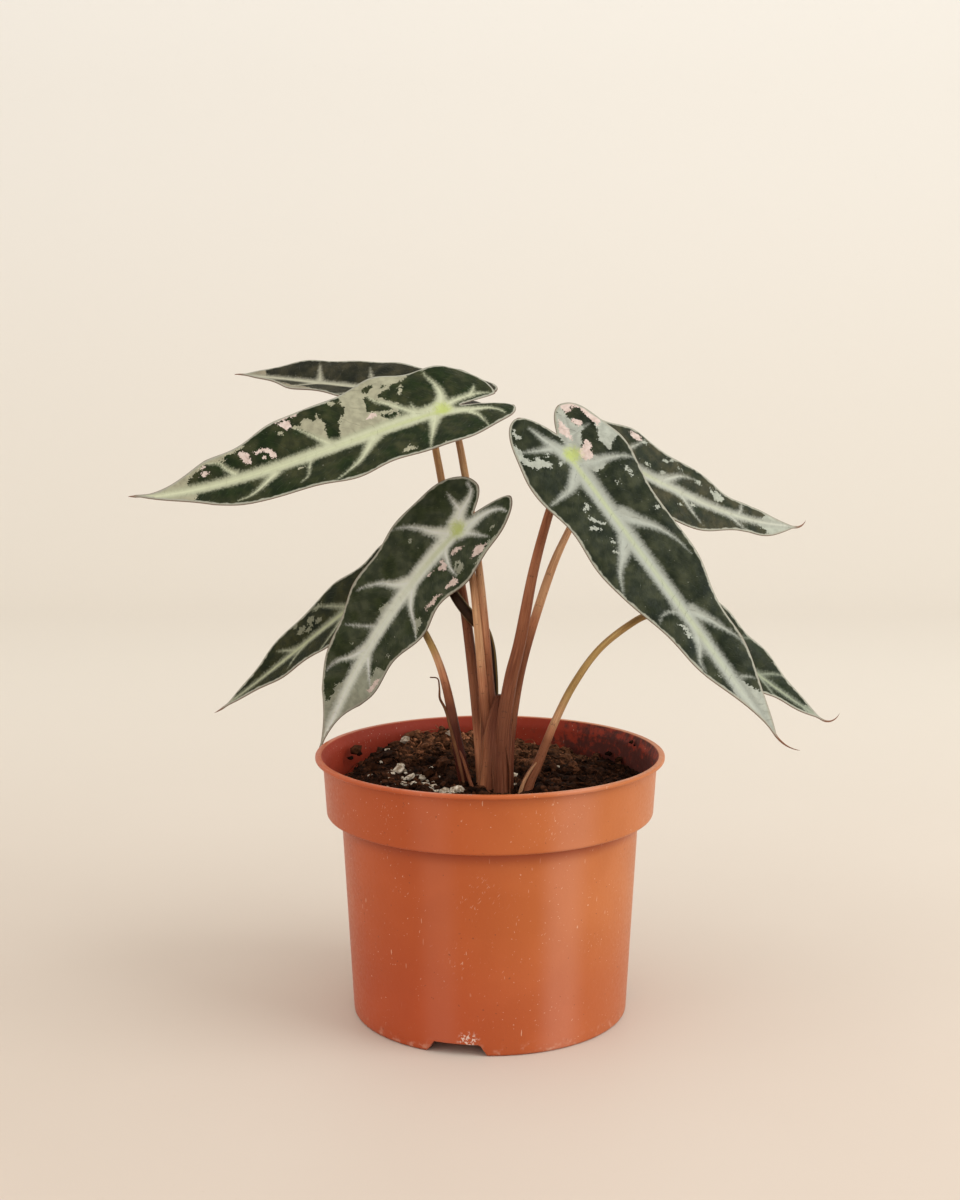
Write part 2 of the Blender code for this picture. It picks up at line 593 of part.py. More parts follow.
def make_stems(finish):
    """Corm, sheath and seven leaf stalks, which grew as one and are joined as one."""
    stems = oval_stack("stems", corm_sections())
    stems.data.materials.append(finish)
    others = [oval_stack("sheath", SHEATH)]
    for leaf in LEAVES:
        out = blade_frame(leaf, np.array([0.0]))[2][0]
        joint = np.array(leaf.at, float)
        end = joint - out * (BLADE_THICKNESS + STALK_TO_BLADE)
        bend = joint - out * STALK_BEND
        radius = STALKS[leaf.name][-1][3]
        points = STALKS[leaf.name] + [(*bend, radius), (*end, radius)]
        others.append(tube("stalk", points, last_normal=out))
    boolean(stems, others, "UNION")
    return stems


def footprint_middle(objects):
    """Middle of the whole object's extent along X and Y."""
    graph = bpy.context.evaluated_depsgraph_get()
    corners = []
    for obj in objects:
        mesh = obj.evaluated_get(graph).data
        corners += [obj.matrix_world @ vert.co for vert in mesh.vertices]
    xs, ys = [c.x for c in corners], [c.y for c in corners]
    return (min(xs) + max(xs)) / 2, (min(ys) + max(ys)) / 2


def smooth_shading(obj, angle):
    """Smooth faces, with edges sharper than the angle kept sharp."""
    obj.data.shade_smooth()
    obj.data.set_sharp_from_angle(angle=radians(angle))


def main():
    for obj in list(bpy.data.objects):
        bpy.data.objects.remove(obj)
    terracotta = material("terracotta_plastic", (0.55, 0.13, 0.04), 0.42)
    earth = material("potting_mix", (0.022, 0.012, 0.008), 0.95, 0.2)
    stalk_skin = material("stalk_skin", (0.22, 0.085, 0.05), 0.45)
    young = material("rolled_leaf_skin", (0.018, 0.008, 0.008), 0.35)
    dry = material("dry_sheath", (0.12, 0.05, 0.02), 0.8)
    blade_skin = material("blade_skin", (0.02, 0.045, 0.022), 0.38)
    objects = [make_pot(terracotta), make_soil(earth), make_stems(stalk_skin)]
    objects.append(tube("new_leaf", NEW_LEAF, young))
    objects.append(tube("dried_sheath", DRIED_SHEATH, dry))
    objects += [make_blade(leaf, blade_skin) for leaf in LEAVES]
    for obj in objects:
        smooth_shading(obj, 40)
    middle_x, middle_y = footprint_middle(objects)
    stand = bpy.data.objects.new("plant_in_pot", None)
    bpy.context.scene.collection.objects.link(stand)
    stand.location = (-middle_x, -middle_y, 0)
    for obj in objects:
        obj.parent = stand


main()
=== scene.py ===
"""The looks of a small variegated alocasia in a 12 cm plastic nursery pot.

Shapes are laid out in millimetres from the pot's axis, as in the part's source, and turned into
metres round the CAD pot when their meshes are made.
"""

import json
from dataclasses import dataclass
from math import radians

import bmesh
import bpy
import numpy as np
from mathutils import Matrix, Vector

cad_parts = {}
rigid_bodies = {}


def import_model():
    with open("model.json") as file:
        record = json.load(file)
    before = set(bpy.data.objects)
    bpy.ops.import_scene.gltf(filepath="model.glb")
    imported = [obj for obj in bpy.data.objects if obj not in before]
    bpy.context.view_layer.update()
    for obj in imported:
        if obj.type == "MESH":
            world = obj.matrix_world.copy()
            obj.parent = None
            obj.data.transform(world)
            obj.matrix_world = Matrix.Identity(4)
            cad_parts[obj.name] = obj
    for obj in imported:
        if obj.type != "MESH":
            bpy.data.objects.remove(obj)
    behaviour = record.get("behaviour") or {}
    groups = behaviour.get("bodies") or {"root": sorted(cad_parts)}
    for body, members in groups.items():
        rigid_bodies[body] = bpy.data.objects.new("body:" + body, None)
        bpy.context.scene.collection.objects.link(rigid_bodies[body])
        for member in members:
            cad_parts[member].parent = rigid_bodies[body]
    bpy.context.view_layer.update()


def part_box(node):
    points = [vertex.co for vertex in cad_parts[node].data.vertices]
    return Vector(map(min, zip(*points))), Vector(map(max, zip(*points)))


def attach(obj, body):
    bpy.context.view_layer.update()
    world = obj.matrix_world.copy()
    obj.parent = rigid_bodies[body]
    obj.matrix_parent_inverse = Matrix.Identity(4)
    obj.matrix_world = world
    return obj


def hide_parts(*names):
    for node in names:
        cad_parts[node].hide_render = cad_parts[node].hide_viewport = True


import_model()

MM = 0.001
WELD_DISTANCE = 2e-6
POT_LOW, POT_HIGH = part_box("pot")
AXIS = np.array([(POT_LOW.x + POT_HIGH.x) / 2, (POT_LOW.y + POT_HIGH.y) / 2, 0.0])

# Camera, as it stands before the pot's axis
CAMERA_DISTANCE = 608.0
CAMERA_HEIGHT = 234.1
CAMERA_TILT = 8.48
LENS = 54.21
FRAME_SHIFT = 10 / 1200

# Floor and wall behind it
SWEEP_FRONT = -1500.0
SWEEP_BACK = 900.0
SWEEP_BEND = 500.0
SWEEP_TOP = 2600.0
SWEEP_SIDE = 2200.0

# Pot
POT_HEIGHT = 90.6
LIP_RADIUS = 60.0
LIP_THICKNESS = 1.3
MOUTH_RADIUS = 57.2
COLLAR_TOP_RADIUS = 57.4
COLLAR_FOOT_RADIUS = 56.2
COLLAR_FOOT = 70.0
BODY_TOP_RADIUS = 51.2
BODY_FOOT_RADIUS = 47.5
WALL = 1.4
FOOT_RING_WIDTH = 2.6
FLOOR_UNDERSIDE = 3.6
FLOOR_THICKNESS = 1.4
CENTRE_HOLE_RADIUS = 5.0
DRAIN_HOLE_RADIUS = 4.0
DRAIN_HOLE_CIRCLE = 34.0
DRAIN_HOLES = 6
DRAIN_HOLE_SIDES = 40
NOTCHES = 3
NOTCH_WIDTH = 18.5
NOTCH_HEIGHT = 3.9
NOTCH_FLARE = 1.12
NOTCH_TOP = 0.86
FIRST_NOTCH_ANGLE = -103.5
POT_SEGMENTS = 300

# Soil
SOIL_LEVEL = 82.0
SOIL_SLOPE_X = -0.045
SOIL_SLOPE_Y = 0.03
SOIL_HEAP = (-24.0, 40.0, 19.0, 4.0)
SOIL_RADIUS = 54.6
SOIL_FLOOR = 5.3
SOIL_SEGMENTS = 360
SOIL_RIM_START = 40.0
SOIL_RIM_WIDTH = 14.0
SOIL_RIM_SINK = 1.5
SOIL_RIM_SINK_LEFT = 8.5
SOIL_LUMPS = [(12.0, 1.3), (5.5, 1.5), (2.6, 1.0), (1.2, 0.45)]  # width and height
LATTICE = 64
FIBRES = 300
FIBRE_STEPS = 7
LUMP_FLATNESS = 0.75
WALL_CRUMB_SEED = 41
FIBRE_SEED = 51
PERLITE_SEED = 31

# Loose crumbs: name, number, least and greatest size, seed, how far squashed, lightest shade
CRUMB_KINDS = [("large_crumbs", 400, 1.0, 2.6, 11, (0.5, 1.3), 0.72),
               ("small_crumbs", 4200, 0.3, 1.05, 12, (0.4, 1.4), 1.0),
               ("bark_chips", 150, 1.0, 2.6, 13, (0.25, 1.5), 0.85)]

# Crumbs stuck to the wall: place and size
WALL_CRUMBS = [(-48.0, 22.0, 86.0, 2.7), (-47.0, 24.5, 84.0, 1.6), (-49.6, 20.0, 83.6, 1.3),
               (50.5, 23.5, 88.6, 1.0), (51.4, 21.0, 88.0, 0.6), (43.0, 33.5, 82.0, 1.5),
               (46.5, 29.0, 81.0, 1.8), (39.0, 38.0, 80.5, 1.3)]

# Grains of perlite that lie apart: x, y and size
PERLITE = [(-30.5, 31, 2.0), (-14.5, 33, 1.6), (-36.5, 19.5, 1.1), (-31, 5, 1.7), (-34, -3, 1.8),
           (-31, -7, 2.2), (-27.5, -11, 2.0), (-24, -7.5, 2.1), (-22, -12, 1.7), (-19, -15, 2.0),
           (-29, -15, 1.6), (-25, -18, 1.7), (-15, -19, 2.0), (-11, -21, 2.1), (-13, -23.5, 1.6),
           (-20, -20, 1.3), (7.6, 1, 1.8), (6.4, -6, 1.6), (8.5, -9, 1.0), (30, -5, 0.8),
           (24, 12, 0.8), (-3, 30, 1.0)]

# Pale bands of painted sheen up the pot's front: middle and half width as shares of the radius, and
# strength
SHEEN_BANDS = [(-0.335, 0.17, 0.05), (0.477, 0.20, 0.115)]

# Places on the pot's front, across and up: one scuff, and worn areas with their reach
SCUFF_PLACE = (-7.0, 5.0)
WORN_PLACES = [(-3.0, 54.0, 11.0), (-9.0, 33.0, 8.0), (34.0, 34.0, 5.0), (22.0, 78.0, 9.0),
               (-34.0, 82.0, 5.0)]

# Blades
BLADE_CELL = 0.6
TAIL_ROWS = 13
BLADE_THICKNESS = 0.6
EDGE_ROUNDING = 0.45
TAIL_HALF_WIDTH = 0.45
LOBE_ROUNDING = 1.2
LOBE_LIFT_REACH = 18.0
FOLD_ROUNDING = 1.4
RUFFLE_OFFSET = 1.9
MIDRIB_STEPS = 400
FAR = 1e9

# Relief of the blades: depth or height, and width across
VEIN_SINK = 0.25
VEIN_WIDTH = 1.0
MIDRIB_SINK = 0.35
MIDRIB_WIDTH = 1.7
PANEL_SWELL = 0.45
PANEL_GAP = 3.5
RIB_HEIGHT = 0.3
RIB_WIDTH = 0.6
KEEL_HEIGHT = 1.1
KEEL_WIDTH = 0.9

# Pale bands: how far their corners are webbed, and the shift that gives each vein its own streaks
WEBBING = 0.5
STREAK_SHIFT = 31.7


@dataclass
class Leaf:
    """One blade. Pairs hold its left and its right half, seen from the stalk towards the tip.

    at is where the stalk joins. heading, pitch and roll set the blade there, in degrees. turn,
    droop and twist are how much they change along the blade, turn and droop as a linear and a
    square part. Lengths are in millimetres: length runs from the stalk to the tip, lobe from the
    stalk back to the end of each lobe, sinus to the notch between them, spread is how far each
    lobe's end lies from the middle line, and width is the greatest half width. taper and point
    shape the outline. fold is the angle at which the halves rise from the midrib, at the stalk and
    its change to the tip, cup lowers the margins, lift raises the lobes, and the waves of the
    margin are a height in millimetres, a number along the blade and a start angle for each half.
    slim_tip narrows the blade near its tip, and ruffle lifts and sinks the margins in the same
    terms as the waves. tail is the dried thread at the tip: its length, and how far it turns up
    and to the side.
    """

    name: str
    at: tuple
    heading: float
    pitch: float
    roll: float
    turn: tuple
    droop: tuple
    twist: float
    length: float
    width: tuple
    lobe: tuple
    spread: tuple
    sinus: float
    taper: tuple
    point: tuple
    fold: tuple
    cup: float
    lift: float
    waves: tuple
    slim_tip: float
    ruffle: tuple
    tail: tuple


LEAVES = [
    Leaf("leaf_upper_left", at=(-16, 4, 208), heading=194, pitch=-15, roll=-39, turn=(-11, -11),
         droop=(-25, 36), twist=-28, length=108, width=(18, 20.5), lobe=(24, 20), spread=(6, 3),
         sinus=6.5, taper=(3.0, 2.8), point=(1.0, 1.2), fold=(7, 6), cup=0.3, lift=-0.9,
         waves=((-0.8, 3.8, 15), (0.9, 3.8, 24)), slim_tip=1.3,
         ruffle=(0.7, 5.0, 40), tail=(2.5, 4, -4)),
    Leaf("leaf_back_left", at=(-17.5, 28, 211.5), heading=156, pitch=4.5, roll=-22, turn=(-6, -8),
         droop=(2, -4), twist=-14, length=86.5, width=(14.5, 15.5), lobe=(19, 19), spread=(7, 7),
         sinus=8, taper=(2.5, 3.1), point=(1.2, 1.0), fold=(14, 5), cup=0.6, lift=0,
         waves=((-1.3, 3.7, 40), (-0.7, 3.6, 38)), slim_tip=0.4,
         ruffle=(0.6, 4.0, 0), tail=(4, -6, 4)),
    Leaf("leaf_front_left", at=(-11, 2, 167.5), heading=160, pitch=-45, roll=-76, turn=(-4, 2),
         droop=(-25, 2), twist=-25, length=99.5, width=(16.5, 17.5), lobe=(23.5, 15.5),
         spread=(6, 6.5), sinus=8, taper=(3.5, 3.3), point=(1.3, 1.2), fold=(11.5, -1), cup=0.2,
         lift=0.6, waves=((-1.2, 4.0, -83), (-0.5, 4.1, -63)), slim_tip=1.7,
         ruffle=(0.7, 4.5, 60), tail=(2, 0, 0)),
    Leaf("leaf_low_left", at=(-33.5, 25, 149), heading=161, pitch=-35, roll=-52, turn=(2.5, 1),
         droop=(-14, 13), twist=-6, length=86, width=(11.5, 13), lobe=(14, 14), spread=(5, 5),
         sinus=8, taper=(2.6, 2.9), point=(1.1, 1.2), fold=(12, 2), cup=0.4, lift=0,
         waves=((-0.6, 3.8, 15), (-0.8, 3.8, 62)), slim_tip=0.3,
         ruffle=(0.5, 4.0, 0), tail=(4, 10, 6)),
    Leaf("leaf_front_right", at=(27, -15.5, 194), heading=-31, pitch=-49, roll=40, turn=(6, -3),
         droop=(0, -3), twist=2, length=112.5, width=(17.5, 19), lobe=(17.5, 20.5),
         spread=(7, 8.5), sinus=9, taper=(2.2, 3.4), point=(0.8, 1.5), fold=(6, -1), cup=0.9,
         lift=-1.2, waves=((-1.0, 3.3, 42), (-1.0, 3.2, 68)), slim_tip=0,
         ruffle=(0.7, 4.5, 20), tail=(9, 48, 12)),
    Leaf("leaf_back_right", at=(40, 10.5, 191.5), heading=23, pitch=-24, roll=66, turn=(1, 0),
         droop=(-18, 40), twist=3, length=82.5, width=(14, 15), lobe=(16.5, 16.5), spread=(6, 6),
         sinus=8, taper=(2.6, 2.3), point=(1.3, 1.3), fold=(7, -1), cup=0.9, lift=0,
         waves=((0.9, 3.7, 89), (1.0, 3.3, 120)), slim_tip=-1.2,
         ruffle=(0.6, 4.0, 0), tail=(5, 60, 10)),
    Leaf("leaf_low_right", at=(62.5, 8.5, 141), heading=12, pitch=-40, roll=53, turn=(1, 1),
         droop=(-1, 9), twist=2, length=72, width=(14, 12), lobe=(15, 15), spread=(5.5, 5.5),
         sinus=8, taper=(2.7, 2.4), point=(1.2, 1.2), fold=(13, 2), cup=0.5, lift=0,
         waves=((0.5, 3.5, -10), (0.9, 3.6, -10)), slim_tip=0,
         ruffle=(0.4, 4.0, 0), tail=(8, 95, 10)),
]

# Markings, as places (along, across) on each blade in millimetres. Across is positive in the left
# half. A patch is an outline, or an oval given as (along, across, half length, half width).

# Middle bands: offset from the middle line, and half width at the stalk and at the tip
MIDRIBS = {
    "leaf_upper_left": (0.8, 3.4, 1.5), "leaf_back_left": (0.6, 2.2, 1.0),
    "leaf_front_left": (0.4, 3.1, 1.5), "leaf_low_left": (0.0, 2.0, 0.3),
    "leaf_front_right": (-1.3, 3.3, 1.9), "leaf_back_right": (0.5, 2.3, 1.0),
    "leaf_low_right": (0.0, 1.7, 0.5),
}

# How much of the yellow-green core is left where it fades along the middle band
CORE_LEFT = {"leaf_upper_left": 0.12, "leaf_back_left": 0.1, "leaf_front_left": 0.16,
             "leaf_low_left": 0.25, "leaf_front_right": 0.4, "leaf_back_right": 0.15,
             "leaf_low_right": 0.2}

# Side veins: half width of the pale band at the start and at the end, and the line
VEINS = {
    "leaf_upper_left": [
        (3.0, 0.9, [(0, 1.5), (-5, 3), (-10, 4.2), (-15, 5.2), (-18, 7.6), (-19, 9.7)]),
        (1.2, 0.2, [(-8, 4.5), (-10.5, 8.5), (-11.5, 15)]),
        (1.9, 0.7, [(0, -1), (-6, -2.5), (-13, -3.5), (-18, -3.2)]),
        (0.9, 0.1, [(-11, -3.5), (-13, -6), (-14, -8.3)]),
        (2.5, 0.4, [(0, -2), (-1.5, -6), (-1.2, -11), (0.3, -15), (1, -18)]),
        (1.4, 0.9, [(8, -1), (13, -5.5), (17, -9), (20, -11), (22, -14)]),
        (1.0, 0.3, [(8.5, -1), (9, -4), (9, -6.3)]),
        (1.5, 0.5, [(40, -1.5), (45, -7), (49, -11)]),
        (1.2, 0.4, [(73, -1.5), (76, -4.5), (77.5, -6.5), (82, -7.5)]),
        (2.8, 0.4, [(3, 2), (5, 6), (6.8, 10), (8.8, 14), (10, 17.5)]),
        (2.4, 0.2, [(25, 3), (28, 6), (32, 10), (35.5, 12), (39, 13.7), (42.5, 15.3)]),
        (1.8, 0.2, [(60, 3), (63, 5), (66, 7.2), (69.5, 9), (74, 9.5)]),
        (0.5, 0.1, [(47.5, 2.5), (49, 6), (50, 9), (53, 10.5)])],
    "leaf_back_left": [
        (1.8, 0.4, [(0, 1), (-7, 3), (-14, 6)]), (1.8, 0.4, [(0, -1), (-7, -3), (-14, -6)]),
        (1.6, 0.3, [(2, 1), (6, 7), (9, 13)]), (1.6, 0.3, [(2, -1), (6, -7), (9, -13)]),
        (1.6, 0.2, [(27, -1), (29.5, -4.5), (33.5, -11)]), (1.6, 0.2, [(26, 1), (31, 7), (40, 12)]),
        (1.4, 0.2, [(50, -1), (51.5, -4), (54.5, -9.5)]), (1.2, 0.2, [(50, 1), (55, 5), (62, 9)])],
    "leaf_front_left": [
        (3.3, 0.9, [(-1, 1.5), (-6, 2.5), (-10, 3), (-15, 4.8), (-18, 7), (-19.5, 9.3)]),
        (1.5, 0.4, [(-1, 2.5), (-4, 6), (-7, 9.7), (-8.5, 11.5)]),
        (3.2, 0.9, [(-1, -1.5), (-5, -3.5), (-10, -4.8), (-12.5, -6.5), (-13, -9)]),
        (1.5, 0.1, [(-5, -4), (-5.2, -8), (-5.5, -12)]),
        (2.6, 0.2, [(4, -1.5), (7.5, -6), (9.8, -10), (13, -14), (17, -17)]),
        (2.4, 0.2, [(27, -1), (30.5, -4.5), (32.7, -8), (37, -12), (40.5, -14)]),
        (0.4, 0.1, [(47, -2), (49.5, -6), (52.5, -11.5)]),
        (2.0, 0.4, [(56, -0.5), (61, -3.5), (63.7, -6.2), (66.2, -7.9), (69.6, -9)]),
        (1.7, 0.9, [(8.5, 2), (10, 6), (10.7, 9), (10.3, 12)]),
        (2.2, 0.3, [(27.5, 2), (31.5, 5), (34, 8), (36, 11), (39.5, 14.3)]),
        (1.6, 0.4, [(58, 2), (62, 5), (66, 8)])],
    "leaf_low_left": [
        (1.6, 0.4, [(0, 1), (-5, 2.5), (-10, 4.5)]), (1.6, 0.4, [(0, -1), (-5, -2.5), (-10, -4.5)]),
        (1.4, 0.2, [(2, -1), (7, -6), (11, -10)]), (1.4, 0.2, [(2, 1), (7, 6), (12, 11)]),
        (1.2, 0.3, [(22.5, -1), (28.5, -5.7), (33, -9), (36, -10)]),
        (1.0, 0.2, [(25, 1), (31, 5), (40, 9)]), (1.0, 0.2, [(49, -0.5), (53.5, -3.5), (56, -5)]),
        (0.9, 0.2, [(45, 0.5), (49, 2.1), (54, 5)])],
    "leaf_front_right": [
        (3.2, 1.5, [(-1, 1), (-6, 3), (-12, 5.3)]), (1.4, 0.3, [(-6, 4), (-6.3, 8), (-6.3, 11.5)]),
        (3.0, 0.8, [(4, 1), (6, 5), (7.5, 10), (9.5, 14.5), (12, 17.5)]),
        (3.1, 1.1, [(-1, -2), (-6, -4), (-10, -5.5), (-15, -6.8)]),
        (1.7, 0.8, [(-5, -5), (-6.2, -8.5), (-8.3, -14)]),
        (2.9, 1.1, [(7, -3), (10, -8), (10.8, -12), (11.5, -17)]),
        (3.0, 0.3, [(34, -3), (38, -7), (41.5, -11), (45, -13.5), (50, -16)]),
        (3.0, 0.2, [(26, 1.5), (31, 5), (35, 8.3), (40, 11), (44, 12.3), (49, 13)]),
        (2.4, 0.2, [(65, 1), (70, 4.3), (74, 6), (77, 7.5), (80.3, 8.8), (84, 8.9)]),
        (2.2, 0.4, [(73, -2.5), (76, -4), (78.2, -5.8), (80.3, -7.3), (84, -7.6)]),
        (0.5, 0.2, [(63, -3), (61.3, -6), (61.3, -9), (63, -11)]),
        (0.5, 0.1, [(91, 1.5), (92.5, 4), (94, 5.5)])],
    "leaf_back_right": [
        (1.8, 0.4, [(0, 1), (-6, 3), (-13, 5)]), (1.8, 0.4, [(0, -1), (-6, -3), (-13, -5)]),
        (1.6, 0.2, [(4, 1), (8, 7), (14, 13)]), (1.6, 0.2, [(4, -1), (8, -7), (14, -12)]),
        (2.3, 0.3, [(23, 1), (27, 4), (31, 6.5), (36.5, 7.6)]),
        (1.0, 0.4, [(57.5, 1), (58.3, 4), (58, 6.3)]),
        (1.2, 0.2, [(32.5, 0), (35.5, -2.8), (39.3, -5.9), (42.6, -8.1)]),
        (0.9, 0.2, [(54, 0), (58, -2.5), (62, -4.2)])],
    "leaf_low_right": [
        (1.7, 0.4, [(0, 1), (-5, 3), (-11, 5)]), (1.7, 0.4, [(0, -1), (-5, -3), (-11, -5)]),
        (1.5, 0.2, [(3, 1), (7, 6), (12, 12)]), (1.5, 0.2, [(3, -1), (7, -6), (12, -11)]),
        (1.4, 0.2, [(20, 1), (26, 6), (35, 11)]), (1.4, 0.2, [(22, -1), (28, -5), (36, -9)]),
        (0.6, 0.2, [(42, 0.5), (47, 4), (54, 7)]), (0.6, 0.2, [(43, -0.5), (48, -3), (54, -6)])],
}

# Silver patches
SILVER = {
    "leaf_upper_left": [
        [(5.5, -20), (6.5, -18), (9, -16.6), (13, -15.4), (14.5, -13.8), (19, -12.8), (17, -10.5),
         (13, -7.5), (14.5, -3), (15, -0.5), (36, 0), (35.3, -3.5), (35, -6), (33.5, -8.5),
         (31.5, -10), (30.8, -12), (31.5, -14), (31, -18), (32, -19.5), (28, -21), (15, -22)],
        [(39.5, -1), (43, -5), (46.5, -9), (50, -11), (49.5, -12.5), (47, -11), (46, -13.3),
         (43.5, -12.5), (42.5, -11), (40, -11), (39, -8), (39.5, -5)],
        [(11.8, -10), (12, -11), (11, -14), (9.7, -14.5), (10, -12.5)],
        [(13.5, 14.5), (16, 14.8), (19.3, 14.5), (17.5, 13.3), (15.5, 12), (15.8, 13.6)],
        [(68, -10), (72, -8.8), (76, -8.2), (77, -6.5), (80, -7.3), (83, -7), (85, -5.6), (88, -4),
         (90, -2), (88, 1), (86, 3.4), (89.5, 6), (110, 3), (110, -4), (90, -8), (78, -11)],
        (34.5, -15.5, 1.4, 0.9), (5.5, 18, 1.8, 0.5), (40.5, -12.3, 0.5, 0.6),
        (54.5, -10.5, 0.8, 0.7), (51.5, 4.8, 0.9, 0.4), (76.5, -7.2, 0.8, 0.5)],
    "leaf_back_left": [
        [(38, 14), (42, 9.5), (50, 7), (60, 5), (70, 3), (80, 1), (80, 5), (60, 10), (45, 14)],
        [(76, 3), (74, 0), (78, -5), (95, -3), (95, 3)]],
    "leaf_front_left": [
        [(57.3, 13), (57.8, 8.5), (58.5, 7), (60.5, 6.7), (64.8, 7), (63, 5.5), (61.5, 4.5),
         (62, 0), (69, -1), (71.5, -2.8), (73, -4), (75.5, -3.2), (80, -4.2), (76.5, -7.2),
         (80, -8), (110, -5), (110, 5), (75, 11), (65, 13)],
        [(36, -1), (37, -2.6), (39.5, -3.9), (41.5, -3), (42.5, -1.3)],
        [(31.8, 11.5), (33, 12.8), (36, 13), (39.5, 14.5), (37.5, 11.8), (35.5, 10), (34, 10)],
        [(5, 12), (6.5, 13.3), (9, 13), (10, 11), (9, 9.3), (7, 9), (5.5, 10)],
        [(-12, 13.2), (-8, 12.6), (-5, 13.6), (-2, 14.4), (2, 15.8), (-3, 17), (-10, 16)],
        (15, -9.2, 0.6, 0.6), (-11.8, 10, 1.0, 0.4), (51.7, 8.6, 0.6, 0.5),
        (56.5, -5.6, 0.3, 0.7)],
    "leaf_low_left": [
        (38, -6, 1.8, 1.2), (35, -4, 1.6, 0.9), (43, -5, 2.2, 1.2), (34, -9, 2.2, 0.8),
        (45, -8, 1.2, 0.7), (40, -3.5, 1.6, 0.8)],
    "leaf_front_right": [
        [(-18.5, 8), (-13, 6.5), (-9, 7), (-6, 9), (-4, 6.5), (-1.5, 5), (0, 1), (-10, -0.5),
         (-14, 2.5)],
        [(-6, 18.5), (3, 19.5), (2.3, 16), (4, 13.5), (5.5, 11.5), (5, 10.8), (1, 10.4), (0, 9.6),
         (-1, 10.8), (-3.5, 12), (-6, 13)],
        [(-17.5, -11), (-15.5, -12.3), (-13.8, -11.3), (-13, -11.8), (-13.5, -13), (-16, -13.4)],
        [(0, -8.7), (1, -9.2), (-0.5, -12), (-1, -14), (-2.5, -15.8), (-4.5, -16.8), (-8, -18),
         (-12, -17), (-13, -15), (-9, -14.8), (-7, -15.5), (-4, -14), (-3.5, -13), (-4.5, -12.5),
         (-5, -11.5), (-3, -10.5), (-2, -9.5)],
        [(16.3, -6.7), (18.5, -6.6), (19.3, -8), (19.5, -9.7), (18.2, -9.3), (17.5, -7.8)],
        [(21, -9), (23, -8), (25, -6.8), (26.2, -5.2), (26, -6.3), (24.8, -7.8), (23, -9.2),
         (21.2, -9.6)],
        [(24, -11), (26, -8.8), (27.2, -8), (27, -9.3), (25.5, -11.3)],
        [(34.5, -9.5), (36.5, -7), (38, -5.5), (37, -8), (35.5, -9.6)],
        [(66, -6.2), (67.5, -5), (68.5, -3.8), (70, -4), (72.5, -4.6), (71.5, -5.5), (70.5, -6.2),
         (69.5, -4.8), (67.5, -5.8)],
        [(12.5, 12.5), (13.5, 13.5), (14.5, 13), (17, 12.8), (16.5, 12), (15, 12.3), (13.5, 11.5)],
        [(4.5, 6), (7, 7), (8.5, 8), (9.5, 6), (9.5, 3), (8, 2), (4, 2)],
        [(92, 1), (97, 3), (100, 6), (120, 4), (120, -4), (102, -6), (96, -3.6), (90, -2.8)],
        (1, -6, 0.8, 0.7), (32.3, -7.4, 0.9, 0.4), (29.8, 12.7, 0.8, 0.7), (16.2, 7, 0.6, 0.8),
        (86.5, -4.6, 0.6, 0.3), (-3.6, -8, 0.5, 0.7), (13.3, -6.8, 0.3, 0.4)],
    "leaf_back_right": [
        [(43.5, 6.8), (45, 5.8), (46, 6.8), (48, 6.3), (50.2, 4.8), (49.5, 3.5), (47, 2.8),
         (45.5, 3.8), (44, 4.8)],
        [(66, 1), (69, 3), (71, 6), (90, 4), (90, -4), (73, -6), (69, -2.5), (66, -1)],
        (13.2, 11.9, 1.1, 0.6), (23.2, 8.6, 1.0, 0.6), (25.4, 10, 0.8, 0.4), (15.9, 4.1, 1.0, 0.6),
        (22.6, 4.1, 1.2, 0.7), (29, 8.4, 0.8, 0.4), (38.2, 6.9, 1.3, 0.7), (37.6, -2.2, 1.0, 0.5),
        (32.4, -4.2, 0.9, 0.5), (52.5, 6.5, 1.0, 0.4)],
    "leaf_low_right": [[(63, 0.8), (66, 2.5), (69, 5), (80, 3), (80, -3), (69, -5), (66, -1.5),
                        (63, -0.8)]],
}

